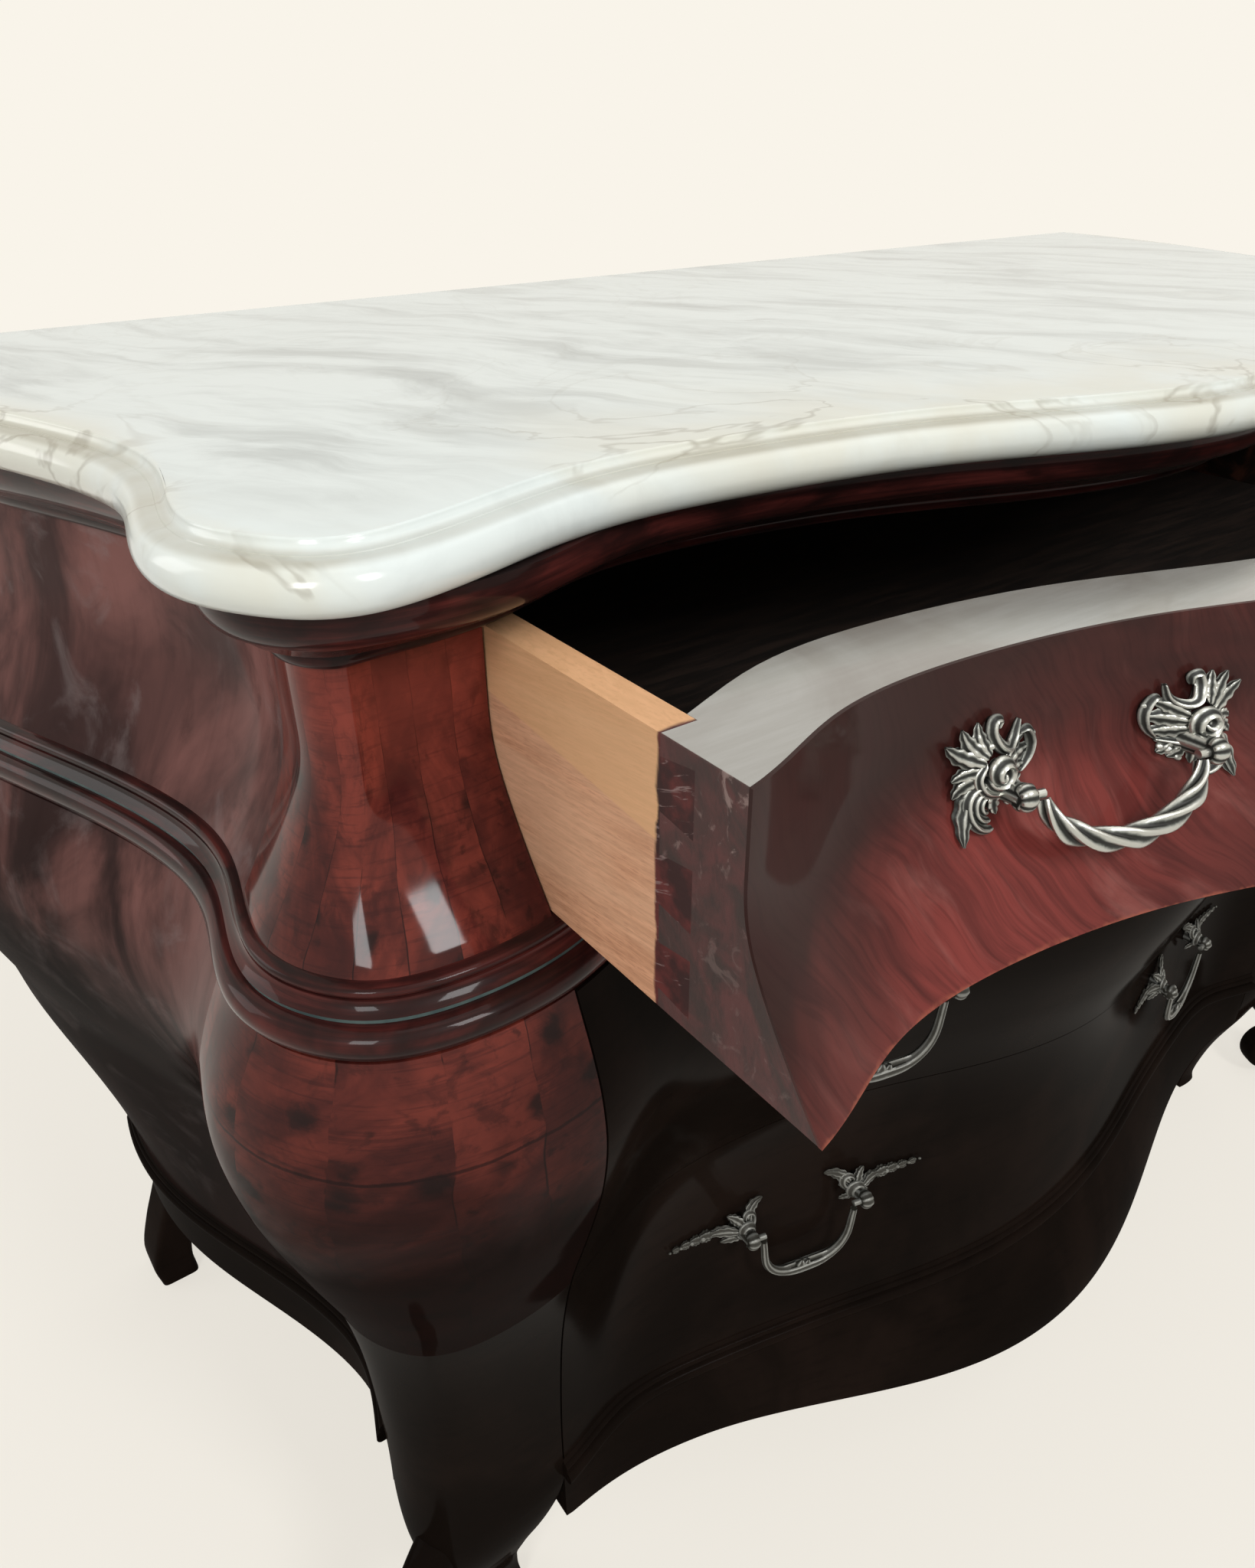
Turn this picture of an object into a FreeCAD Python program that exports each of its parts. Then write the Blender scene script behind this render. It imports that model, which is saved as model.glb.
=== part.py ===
import FreeCAD, Part
import math
import os

# Bombe chest: a coved upper stage with one drawer over a swelling lower stage with
# two, a marble slab on top and scroll-footed legs below.  Millimetres, +Z up, front
# at -Y.  Everything is drawn with y = 0 at the neck of the corner posts and is moved
# once at the end, so that the origin is the centre of the floor area covered.

os.makedirs("parts", exist_ok=True)

# ---- driving dimensions: heights ----
FLOOR_TO_WAIST = 693.0       # floor to the lower edge of the upper drawer
UPPER_DRAWER_H = 128.0
TOP_MOULDING_H = 38.0
MARBLE_T = 26.0
WAIST_MOULDING_H = 34.0
MIDDLE_DRAWER_H = 232.0
LOWER_DRAWER_H = 214.0
BASE_MOULDING_H = 20.0
SIDE_MOULDING_LIFT = 30.0    # the base moulding runs higher on the sides
APRON_H = 50.0               # apron below the base moulding, beside the legs
APRON_DROP = 30.0            # extra depth of the apron at its centre
FRAME_T = 16.0               # top and base frames
MIDDLE_FRAME_T = 12.0        # frame between the lower drawers
PANEL_T = 6.0                # dust panels

# ---- driving dimensions: plan ----
OPENING_HALF = 441.5         # centre line to the posts' inner faces
CARCASS_BACK = 507.0         # neck plane to the rear faces
BACK_PANEL_T = 10.0
POST_DEPTH = 55.0            # neck plane to the rear face of the corner posts
COVE_DEPTH = 46.5            # how far the neck stands behind the waist line
COVE_STRAIGHT = 53.0         # plumb stretch at the top of the cove
SIDE_COVE_SHARE = 0.72       # inward moves are smaller on the sides
MARBLE_OVERHANG = 14.0       # nosing beyond the waist line
SIDE_WALL = 22.0             # lower side panels and moulding bodies
UPPER_WALL = 16.0            # upper side panels
REAR_POST = 46.0             # square of the rear stiles
FRAME_RAIL = 70.0            # width of the frames' rails

# ---- driving dimensions: drawers ----
REVEAL = 1.2                 # gap round each drawer front, and under its sides
UPPER_OPEN = 176.0           # how far the upper drawer stands open
UPPER_FRONT_T = 50.0         # upper drawer front at its top edge
LOWER_FRONT_T = 25.0         # lower fronts where they are thinnest
SIDE_T = 17.0                # drawer sides
DRAWER_BACK_T = 14.0
BACK_LOWERED = 8.0           # a drawer back stands this much below its sides
BOTTOM_T = 7.0
BOTTOM_GROOVE = 6.0          # how far a bottom enters its grooves
BOTTOM_RISE = 12.0           # lower edge of a side to its groove
DRAWER_REAR = 470.0          # neck plane to the rear of a closed drawer
TAIL_LENGTH = 20.0           # half-blind dovetails
TAIL_SPLAY = 3.0             # how much a tail widens on each edge
TAIL_SHARE = 0.55            # tail width over pitch
TAIL_PITCH = 42.0
GUIDE_W = 24.0
GUIDE_H = 22.0
GUIDE_GAP = 0.8              # drawer side to guide
KICKER_H = 13.0

# ---- driving dimensions: pulls ----
UPPER_PULL_X = 229.0         # chest centre line to the centre of a pull
LOWER_PULL_X = 238.0
UPPER_SPACING = 104.0        # between the two posts of a pull
LOWER_SPACING = 90.0
UPPER_PULL_RISE = 66.0       # drawer's lower edge to the pivot line
MIDDLE_PULL_RISE = 132.0
LOWER_PULL_RISE = 118.0
UPPER_DROP = 32.0            # pivot line to the lowest point of the bail
LOWER_DROP = 52.0
UPPER_TILT = 30.0            # the upper bails lean out over the cove, in degrees
BAIL_R = 3.8
PIVOT_STANDOFF = 20.0        # drawer face to the pivot line
PIN_R = 2.2
PIN_CLEARANCE = 0.08
PIN_LENGTH = 6.8
BORE_PAST = 1.5              # a head's bore runs this far past its post's centre
HEAD_R = 6.5                 # pierced knuckle that holds the bail's pin
HEAD_W = 9.0
UPPER_PLATE = (40.0, 54.0, 0.0)      # width, height, and how far its middle is beyond the post
LOWER_PLATE = (84.0, 26.0, 26.0)
PLATE_T = 4.0

# ---- heights worked out from those ----
WAIST = FLOOR_TO_WAIST
STAGE_BOTTOM = WAIST - REVEAL                 # upper posts and sides stand here
UPPER_TOP = WAIST + UPPER_DRAWER_H
MARBLE_BOTTOM = UPPER_TOP + TOP_MOULDING_H
MARBLE_TOP = MARBLE_BOTTOM + MARBLE_T
BODY_TOP = WAIST - WAIST_MOULDING_H
MIDDLE_BOTTOM = BODY_TOP - MIDDLE_DRAWER_H
LOWER_BOTTOM = MIDDLE_BOTTOM - LOWER_DRAWER_H
APRON_TOP = LOWER_BOTTOM - REVEAL - BASE_MOULDING_H
SIDE_BOTTOM = LOWER_BOTTOM + SIDE_MOULDING_LIFT
SIDE_APRON_TOP = SIDE_BOTTOM - BASE_MOULDING_H

# ---- plan outline of the waist line ----
# Each station is a point on the left half and the direction in which the moulded
# surface moves there, in degrees from straight ahead towards the left side.
SIDE_RUN = CARCASS_BACK - POST_DEPTH          # length of a side behind its post
SIDE_STATIONS = [(-OPENING_HALF - 202.5, CARCASS_BACK, 90.0),
                 (-OPENING_HALF - 174.5, POST_DEPTH + 0.67 * SIDE_RUN, 90.0),
                 (-OPENING_HALF - 129.5, POST_DEPTH + 0.4 * SIDE_RUN, 90.0),
                 (-OPENING_HALF - 101.5, POST_DEPTH + 0.16 * SIDE_RUN, 90.0),
                 (-OPENING_HALF - 109.5, POST_DEPTH, 90.0)]
EAR_STATIONS = [(-OPENING_HALF - 115.0, 8.0, 84.0), (-OPENING_HALF - 100.0, -27.0, 56.0),
                (-OPENING_HALF - 65.5, -47.5, 18.0), (-OPENING_HALF, -46.0, 0.0)]
HOLLOW_STATIONS = [(61.5 - OPENING_HALF, -24.0, 0.0)]
HOLLOW_X, HOLLOW_Y = OPENING_HALF - 136.5, -18.5    # deepest place of the hollow beside the belly
BELLY_DEPTH = 69.5                   # how far the belly stands in front of it
BELLY_STEPS = 3


def belly(x):
    """Front of the waist line between the two hollows: one cosine wave."""
    return HOLLOW_Y - BELLY_DEPTH * 0.5 * (1.0 + math.cos(math.pi * x / HOLLOW_X))


LEFT_HALF = SIDE_STATIONS + EAR_STATIONS + HOLLOW_STATIONS
BELLY_STATIONS = [(HOLLOW_X * i / BELLY_STEPS, belly(HOLLOW_X * i / BELLY_STEPS), 0.0)
                  for i in range(-BELLY_STEPS, BELLY_STEPS + 1)]
RIGHT_HALF = [(-x, y, -angle) for x, y, angle in reversed(LEFT_HALF)]
STATIONS = LEFT_HALF + BELLY_STATIONS + RIGHT_HALF

LAST = len(STATIONS) - 1
POST_SIDE = len(SIDE_STATIONS) - 1            # where a post meets the side panel
MITRE = POST_SIDE + 2                         # where the mouldings are mitred
DRAWER_END = POST_SIDE + len(EAR_STATIONS)    # where a post meets a drawer


# Low on the sides the body draws in further, most of all at its rear corners.
TUCK = 50.0
TUCK_START, TUCK_END = 305.0, 460.0  # depths below the waist line
TUCK_SHARES = [1.0, 0.2, 0.1, 0.15]  # share of the tuck at the first side stations


# From the middle drawer down the belly broadens, most of all on its flanks.
BOW = 28.0


def bow(x, height):
    share = min(abs(x) / OPENING_HALF, 1.0)
    t = min(max((MIDDLE_BOTTOM - height) / LOWER_DRAWER_H, 0.0), 1.0)
    flank = math.cos(math.pi * share / 2) ** 2 * (0.5 + 6.0 * share ** 2)
    return BOW * flank * (3.0 - 2.0 * t) * t ** 2


def tuck(index, height):
    place = min(index, LAST - index)
    if place >= len(TUCK_SHARES):
        return 0.0
    t = min(max((WAIST - height - TUCK_START) / (TUCK_END - TUCK_START), 0.0), 1.0)
    return TUCK * TUCK_SHARES[place] * (3.0 - 2.0 * t) * t ** 2


def station_point(index, offset, height):
    """A station moved out by an offset; inward moves are smaller on the sides."""
    x, y, angle = STATIONS[index]
    turn = math.radians(angle)
    if offset < 0.0:
        offset *= 1.0 - (1.0 - SIDE_COVE_SHARE) * math.sin(turn) ** 2
    offset += bow(x, height) - tuck(index, height)
    return FreeCAD.Vector(x - offset * math.sin(turn), y - offset * math.cos(turn), height)


def ring(height, offset, first=0, last=LAST, waisted=()):
    """Part of the plan outline at one height, pushed out by an offset; `waisted` holds
    the stations of the left half that stay further in, and by how much."""
    shy = dict(waisted)
    points = [station_point(i, offset - shy.get(min(i, LAST - i), 0.0), height)
              for i in range(LAST + 1)]
    curve = Part.BSplineCurve()
    curve.interpolate(Points=points, Parameters=[float(i) for i in range(LAST + 1)])
    return curve.toShape(float(first), float(last))


# ---- vertical profiles: how far the surface stands out from the waist line ----
COVE_POWER = 1.35
# Depth below the waist line, and offset, of the swelling lower stage.
SWELL = [(0.0, 4.0), (34.0, 17.0), (65.0, 31.0), (89.0, 38.5), (118.0, 41.0), (157.0, 35.0),
         (206.0, 20.0), (266.0, 0.0), (327.0, -13.0), (400.0, -20.0), (480.0, -22.0), (600.0, -16.0)]


def cove(height):
    """Upper stage: plumb at the top, then flaring out to the waist line."""
    bend = UPPER_DRAWER_H - COVE_STRAIGHT
    share = min(max((WAIST + bend - height) / bend, 0.0), 1.0)
    return -COVE_DEPTH * (1.0 - share ** COVE_POWER)


def swell(height):
    """Lower stage: a Hermite curve through the swell's control depths."""
    depth = WAIST - height
    k = max(i for i in range(len(SWELL) - 1) if SWELL[i][0] <= max(depth, 0.0))

    def slope(i):
        low, high = SWELL[max(i - 1, 0)], SWELL[min(i + 1, len(SWELL) - 1)]
        return (high[1] - low[1]) / (high[0] - low[0])

    (z0, a), (z1, b) = SWELL[k], SWELL[k + 1]
    span = z1 - z0
    t = (depth - z0) / span
    return ((2 * t ** 3 - 3 * t ** 2 + 1) * a + (t ** 3 - 2 * t ** 2 + t) * span * slope(k)
            + (3 * t ** 2 - 2 * t ** 3) * b + (t ** 3 - t ** 2) * span * slope(k + 1))


def lining(height):
    """Inner faces of the walls: behind the cove above, plumb behind the swell below."""
    if height >= WAIST:
        return cove(height) - UPPER_WALL
    return min(swell(height), 0.0) - SIDE_WALL


# ---- shape helpers ----
COVE_STEP = 13.0             # height of one strip of a moulded surface
SWELL_STEP = 22.0


def levels(low, high, step):
    """Heights from low to high, both included, at most a step apart."""
    count = math.ceil((high - low) / step)
    return [low + (high - low) * i / count for i in range(count + 1)]


def always(value):
    return lambda height: value


def closed(edges):
    return Part.Wire(Part.__sortEdges__(edges))


def line(a, b):
    return Part.LineSegment(a, b).toShape()


def wall(heights, outer, inner, first, last):
    """Solid between an outer and an inner surface, each given as offset by height."""
    wires = []
    for z in heights:
        out, back = outer(z), inner(z)
        wires.append(closed([
            ring(z, out, first, last),
            line(station_point(last, out, z), station_point(last, back, z)),
            ring(z, back, first, last),
            line(station_point(first, back, z), station_point(first, out, z))]))
    return Part.makeLoft(wires, True, True).removeSplitter()


def plan_wire(height, offset, waisted=()):
    """The whole outline, closed by a straight back."""
    return closed([ring(height, offset, waisted=waisted),
                   line(station_point(0, offset, height), station_point(LAST, offset, height))])


def filled(heights, offset):
    return Part.makeLoft([plan_wire(z, offset(z)) for z in heights], True, True)


def corner_block(heights, profile):
    """Corner of the carcass: moulded outside, two flat faces inside."""
    wires = []
    for z in heights:
        out = profile(z)
        inner = FreeCAD.Vector(-OPENING_HALF, POST_DEPTH, z)
        wires.append(closed([ring(z, out, POST_SIDE, DRAWER_END),
                             line(station_point(DRAWER_END, out, z), inner),
                             line(inner, station_point(POST_SIDE, out, z))]))
    return Part.makeLoft(wires, True, True).removeSplitter()


def box(x0, x1, y0, y1, z0, z1):
    low = FreeCAD.Vector(min(x0, x1), min(y0, y1), min(z0, z1))
    return Part.makeBox(abs(x1 - x0), abs(y1 - y0), abs(z1 - z0), low)


def prism(points, direction):
    """Flat polygon carried along a direction."""
    return Part.Face(Part.makePolygon(points + points[:1])).extrude(direction)


def mirrored(shape):
    return shape.mirror(FreeCAD.Vector(0, 0, 0), FreeCAD.Vector(1, 0, 0))


def arc_points(height, out, radius, start, end, count):
    """Points (height, offset) on an arc; 0 degrees is straight out and 90 is up."""
    points = []
    for i in range(count):
        turn = math.radians(start + (end - start) * i / (count - 1))
        points.append((height + radius * math.sin(turn), out + radius * math.cos(turn)))
    return points


PIECES = {}


def keep(name, *solids):
    PIECES[name] = solids[0] if len(solids) == 1 else Part.makeCompound(list(solids))


def keep_pair(name, shape):
    """One piece on the left and its mirror image on the right."""
    keep(name + "_left", shape)
    keep(name + "_right", mirrored(shape))


# ---- marble top ----
NOSE_H = 21.0        # height of the half-round nosing
LEDGE = 4.0          # step between the nosing and the hollow above it
HOLLOW_W = 7.0       # how far the hollow runs back to the top face
WAISTED = ((DRAWER_END, 16.0), (DRAWER_END + 1, 8.0))    # inset just past each ear


def marble_top():
    nose = arc_points(MARBLE_BOTTOM + NOSE_H / 2, MARBLE_OVERHANG - NOSE_H / 2, NOSE_H / 2,
                      -90.0, 90.0, 6)
    rise = MARBLE_T - NOSE_H
    edge = nose[-1][1] - LEDGE
    hollow = [(MARBLE_BOTTOM + NOSE_H + rise * (1.0 - math.cos(math.radians(turn))),
               edge - HOLLOW_W * math.sin(math.radians(turn))) for turn in (0, 50, 90)]
    lower = Part.makeLoft([plan_wire(z, out, WAISTED) for z, out in nose], True, True)
    upper = Part.makeLoft([plan_wire(z, out, WAISTED) for z, out in hollow], True, True)
    keep("marble_top", lower.fuse(upper).removeSplitter())


# ---- mouldings ----
def run(profile, inner, first, last):
    """Moulding body: its profile (height, offset) carried along the outline."""
    low, high = profile[0], profile[-1]
    edges = [ring(z, out, first, last) for z, out in profile]
    back = [ring(z, inner, first, last) for z in (low[0], high[0])]
    faces = [Part.makeRuledSurface(edges[i], edges[i + 1]) for i in range(len(edges) - 1)]
    faces.append(Part.makeRuledSurface(back[1], back[0]))
    for edge, rear, (z, out) in ((edges[0], back[0], low), (edges[-1], back[1], high)):
        ends = [line(station_point(i, out, z), station_point(i, inner, z)) for i in (first, last)]
        faces.append(Part.Face(closed([edge, ends[1], rear, ends[0]])))
    for station in (first, last):
        section = [station_point(station, out, z) for z, out in profile]
        section += [station_point(station, inner, z) for z in (high[0], low[0])]
        faces.append(Part.Face(Part.makePolygon(section + section[:1])))
    shell = Part.makeShell(faces)
    shell.sewShape()
    solid = Part.makeSolid(shell)
    if solid.Volume < 0:
        solid.reverse()
    return solid


def moulding(name, profile, inner):
    """Moulding round front and sides in three mitred pieces."""
    keep(name + "_front", run(profile, inner, MITRE, LAST - MITRE))
    keep_pair(name, run(profile, inner, 0, MITRE))


BEAD_R = 8.5
INLAY_H = 2.2
INLAY_OUT = 9.0


def top_moulding():
    ovolo = arc_points(MARBLE_BOTTOM - 6.0, -19.0, 15.0, -80.0, 0.0, 4)
    moulding("top_moulding",
             [(UPPER_TOP, 2.0 - COVE_DEPTH), (UPPER_TOP + 6.0, 7.0 - COVE_DEPTH),
              (UPPER_TOP + 10.0, 22.0 - COVE_DEPTH)] + ovolo
             + [(MARBLE_BOTTOM, ovolo[-1][1])], lining(UPPER_TOP))


def waist_moulding():
    bead = arc_points(BODY_TOP + BEAD_R, INLAY_OUT + 3.0, BEAD_R, -90.0, 80.0, 6)
    groove_low = bead[-1][0] + 0.4
    groove_high = groove_low + INLAY_H
    small = arc_points(WAIST - 5.2, 3.6, 2.6, -70.0, 80.0, 3)
    profile = (bead + [(groove_low, INLAY_OUT), (groove_high, INLAY_OUT),
                       (groove_high + 0.3, INLAY_OUT + 2.2), (WAIST - 8.2, 6.0)]
               + small + [(STAGE_BOTTOM, 0.0)])
    moulding("waist_moulding", profile, -SIDE_WALL)
    keep("waist_inlay", run([(groove_low, INLAY_OUT + 1.2), (groove_high, INLAY_OUT + 1.2)],
                            INLAY_OUT, 0, LAST))


def base_profile(top, body, height):
    """Two beads, the lower one larger, under a short fillet."""
    bottom = top - height
    return (arc_points(bottom + 5.5, body + 4.0, 5.5, -90.0, 70.0, 4)
            + arc_points(bottom + 14.0, body + 2.0, 3.2, -70.0, 90.0, 3)
            + [(top, body)])


def base_moulding():
    front_top = LOWER_BOTTOM - REVEAL
    keep("base_moulding_front", run(base_profile(front_top, swell(front_top), BASE_MOULDING_H),
                                    lining(front_top) - REVEAL, DRAWER_END, LAST - DRAWER_END))
    side = run(base_profile(SIDE_BOTTOM, swell(SIDE_BOTTOM), BASE_MOULDING_H),
               lining(SIDE_BOTTOM), 0, POST_SIDE)
    keep_pair("base_moulding", side.cut(rear_leg_space()))


# ---- carcass ----
def posts_and_sides():
    upper = levels(STAGE_BOTTOM, UPPER_TOP, COVE_STEP)
    keep_pair("upper_post", corner_block(upper, cove))
    keep_pair("lower_post", corner_block(levels(MIDDLE_BOTTOM, BODY_TOP, SWELL_STEP), swell))
    keep_pair("upper_side", wall(upper, cove, lining, 0, POST_SIDE))
    keep_pair("lower_side", wall(levels(SIDE_BOTTOM, BODY_TOP, SWELL_STEP), swell, lining, 0, POST_SIDE))


def inner_space():
    """Everything inside the linings of the walls."""
    heights = (levels(APRON_TOP, SIDE_BOTTOM, SWELL_STEP)[:-1] + levels(SIDE_BOTTOM, BODY_TOP, SWELL_STEP)
               + levels(STAGE_BOTTOM, UPPER_TOP, COVE_STEP) + [MARBLE_BOTTOM])
    return filled(heights, lining)


def front_zone(low, high, inner):
    """Space before a drawer front's inner face."""
    return wall([low, high], always(120.0), always(inner), DRAWER_END - 1, LAST - DRAWER_END + 1)


REAR_CORNER_X = OPENING_HALF + 135.5    # outer face of a rear leg at its top
FAR = 2.0 * REAR_CORNER_X    # beyond the chest in any direction
STILE_BACK = CARCASS_BACK - BACK_PANEL_T


def rear_leg_space():
    """Where a rear leg passes the side moulding and the apron."""
    return box(-FAR, REAR_POST - REAR_CORNER_X, CARCASS_BACK - REAR_POST, CARCASS_BACK + 1.0,
               0.0, SIDE_BOTTOM)


def frames_and_panels(space):
    """Framed boards above and below each drawer, with thin panels let into them."""
    hole_x = OPENING_HALF - FRAME_RAIL
    hole_y0, hole_y1 = POST_DEPTH + 40.0, STILE_BACK - FRAME_RAIL
    leg = box(-FAR, -OPENING_HALF, -FAR, POST_DEPTH, 0.0, BODY_TOP)
    stile = box(-FAR, REAR_POST - REAR_CORNER_X, STILE_BACK - REAR_POST, CARCASS_BACK,
                0.0, MARBLE_BOTTOM)
    corners = leg.fuse(mirrored(leg))
    stiles = stile.fuse(mirrored(stile))
    table = [("top_frame", MARBLE_BOTTOM - FRAME_T, MARBLE_BOTTOM, None, None),
             ("waist_frame", BODY_TOP, STAGE_BOTTOM, None, "waist_panel"),
             ("middle_frame", MIDDLE_BOTTOM - MIDDLE_FRAME_T / 2,
              MIDDLE_BOTTOM + MIDDLE_FRAME_T / 2, FRONT_BACKS["lower"] - 2 * REVEAL, "middle_panel"),
             ("base_frame", LOWER_BOTTOM - REVEAL - FRAME_T, LOWER_BOTTOM - REVEAL, None, "base_panel")]
    for name, low, high, set_back, panel in table:
        board = space.common(box(-FAR, FAR, -FAR, STILE_BACK, low, high)).cut(stiles)
        if high < BODY_TOP:
            board = board.cut(corners)
        if high < SIDE_BOTTOM:
            for neighbour in ("base_moulding_front", "rear_leg_left", "rear_leg_right"):
                board = board.cut(PIECES[neighbour])
        if set_back is not None:
            board = board.cut(front_zone(low - 1.0, high + 1.0, set_back))
        board = board.cut(box(-hole_x, hole_x, hole_y0, hole_y1, low - 1.0, high + 1.0))
        if panel:
            middle = (low + high) / 2
            lip = BOTTOM_GROOVE
            sheet = box(-hole_x - lip, hole_x + lip, hole_y0 - lip, hole_y1 + lip,
                        middle - PANEL_T / 2, middle + PANEL_T / 2)
            board = board.cut(sheet)
            keep(panel, sheet)
        keep(name, board)
    return stiles


def back_and_guides(space):
    keep("back_panel", space.common(box(-FAR, FAR, STILE_BACK, CARCASS_BACK,
                                        SIDE_BOTTOM, MARBLE_BOTTOM)))
    inner = OPENING_HALF - REVEAL + GUIDE_GAP
    strips = []
    rear = STILE_BACK - REAR_POST
    for low in (STAGE_BOTTOM, MIDDLE_BOTTOM + MIDDLE_FRAME_T / 2, LOWER_BOTTOM - REVEAL):
        strips.append(box(-inner - GUIDE_W, -inner, POST_DEPTH, rear, low, low + GUIDE_H))
    kicker_top = MARBLE_BOTTOM - FRAME_T
    strips.append(box(SIDE_T - OPENING_HALF, -OPENING_HALF - GUIDE_W, POST_DEPTH, rear,
                      kicker_top - KICKER_H, kicker_top))
    keep("drawer_guides", *(strips + [mirrored(s) for s in strips]))


# ---- aprons ----
APRON_FLARE = 43.0           # how far the front apron kicks out at its centre
APRON_FULLNESS = 0.7         # below 1 the kick stays full for longer towards the legs
APRON_STEPS = 8
APRON_STRIP = 14.0


def apron_front():
    """Apron that kicks out under the belly, with a lower edge that dips at the centre."""
    low = APRON_TOP - APRON_H - APRON_DROP
    wires = []
    for z in levels(low, APRON_TOP, APRON_STRIP):
        rise = (z - low) / (APRON_TOP - low)
        flare = APRON_FLARE * (1.0 - rise ** 1.6)
        edges = []
        for depth in (0.0, SIDE_WALL):
            points = []
            for i in range(-APRON_STEPS, APRON_STEPS + 1):
                x = OPENING_HALF * i / APRON_STEPS
                wave = max(math.cos(math.pi * x / OPENING_HALF / 2), 0.0)
                out = swell(APRON_TOP) + bow(x, APRON_TOP) + flare * wave ** APRON_FULLNESS
                points.append(FreeCAD.Vector(x, front_line(x) - out + depth, z))
            curve = Part.BSplineCurve()
            curve.interpolate(points)
            edges.append((curve.toShape(), points[0], points[-1]))
        (outer, a, b), (inner, c, d) = edges
        wires.append(closed([outer, line(b, d), inner, line(c, a)]))
    body = Part.makeLoft(wires, True, True).removeSplitter()
    points = []
    for i in range(-APRON_STEPS, APRON_STEPS + 1):
        u = i / APRON_STEPS
        points.append(FreeCAD.Vector(u * (OPENING_HALF + 1.0), -FAR,
                                     APRON_TOP - APRON_H - APRON_DROP * math.cos(math.pi * u / 2) ** 2))
    curve = Part.BSplineCurve()
    curve.interpolate(points)
    deeper = FreeCAD.Vector(0, 0, 2.0 * APRON_DROP)
    a, b = points[-1] - deeper, points[0] - deeper
    below = Part.Face(closed([curve.toShape(), line(points[-1], a), line(a, b), line(b, points[0])]))
    return body.cut(below.extrude(FreeCAD.Vector(0, FAR, 0)))


def front_line(x):
    """Front of the waist line between the posts: belly, hollows and the rise to a post."""
    if abs(x) <= HOLLOW_X:
        return belly(x)
    share = (abs(x) - HOLLOW_X) / (OPENING_HALF - HOLLOW_X)
    return HOLLOW_Y + (STATIONS[DRAWER_END][1] - HOLLOW_Y) * share ** 1.8


def aprons():
    keep("apron_front", apron_front())
    side_end = SIDE_APRON_TOP - APRON_H
    side = wall(levels(side_end, SIDE_APRON_TOP, SWELL_STEP), swell,
                lambda z: swell(z) - SIDE_WALL, 0, POST_SIDE)
    keep_pair("apron", side.cut(rear_leg_space()))


# ---- legs ----
LEG_TURN = 27.0              # the front legs splay forward of sideways by this angle
FOOT_T = 32.0                # thickness of the foot's scroll
SCROLL_R = 38.0
SCROLL_EYE_R = 13.0
SCROLL_REACH = 100.0         # heel to the scroll's eye
# Front leg below the apron: share of the apron's height, how far it has moved out, and
# its size against the stile above.
CABRIOLE = [(1.0, 0.0, 1.0), (0.9, 6.0, 0.95), (0.81, 14.0, 0.87), (0.72, 22.0, 0.77),
            (0.63, 29.0, 0.66), (0.53, 33.0, 0.56), (0.44, 33.0, 0.48), (0.33, 30.0, 0.41),
            (0.21, 27.0, 0.36), (0.06, 22.0, 0.34), (0.0, 22.0, 0.36)]
# Edges of the knee where it runs out into the scroll: reach, and share of the apron's height.
KNEE_OUTER = [(58.0, 0.94), (88.0, 0.82), (112.0, 0.64), (130.0, 0.42), (137.0, 0.24)]
KNEE_INNER = [(68.0, 0.32), (52.0, 0.4), (30.0, 0.5)]


def leg_heading():
    turn = math.radians(LEG_TURN)
    return FreeCAD.Vector(-math.cos(turn), -math.sin(turn), 0)


def front_leg():
    """Stile beside the lower drawer, running down into an ankle, a heel and a scroll."""
    stile = corner_block(levels(APRON_TOP, MIDDLE_BOTTOM, SWELL_STEP), swell)
    out = swell(APRON_TOP)
    inner = FreeCAD.Vector(-OPENING_HALF, POST_DEPTH, 0)
    section = closed([ring(0.0, out, POST_SIDE, DRAWER_END),
                      line(station_point(DRAWER_END, out, 0.0), inner),
                      line(inner, station_point(POST_SIDE, out, 0.0))])
    wires = []
    for share, move, scale in CABRIOLE:
        matrix = FreeCAD.Matrix()
        matrix.move(inner * -1)
        matrix.scale(scale, scale, 1.0)
        matrix.move(inner + leg_heading() * move + FreeCAD.Vector(0, 0, share * APRON_TOP))
        wires.append(section.transformGeometry(matrix))
    leg = stile.fuse(Part.makeLoft(wires, True, True))
    return leg.fuse(foot_scroll()).removeSplitter()


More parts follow.
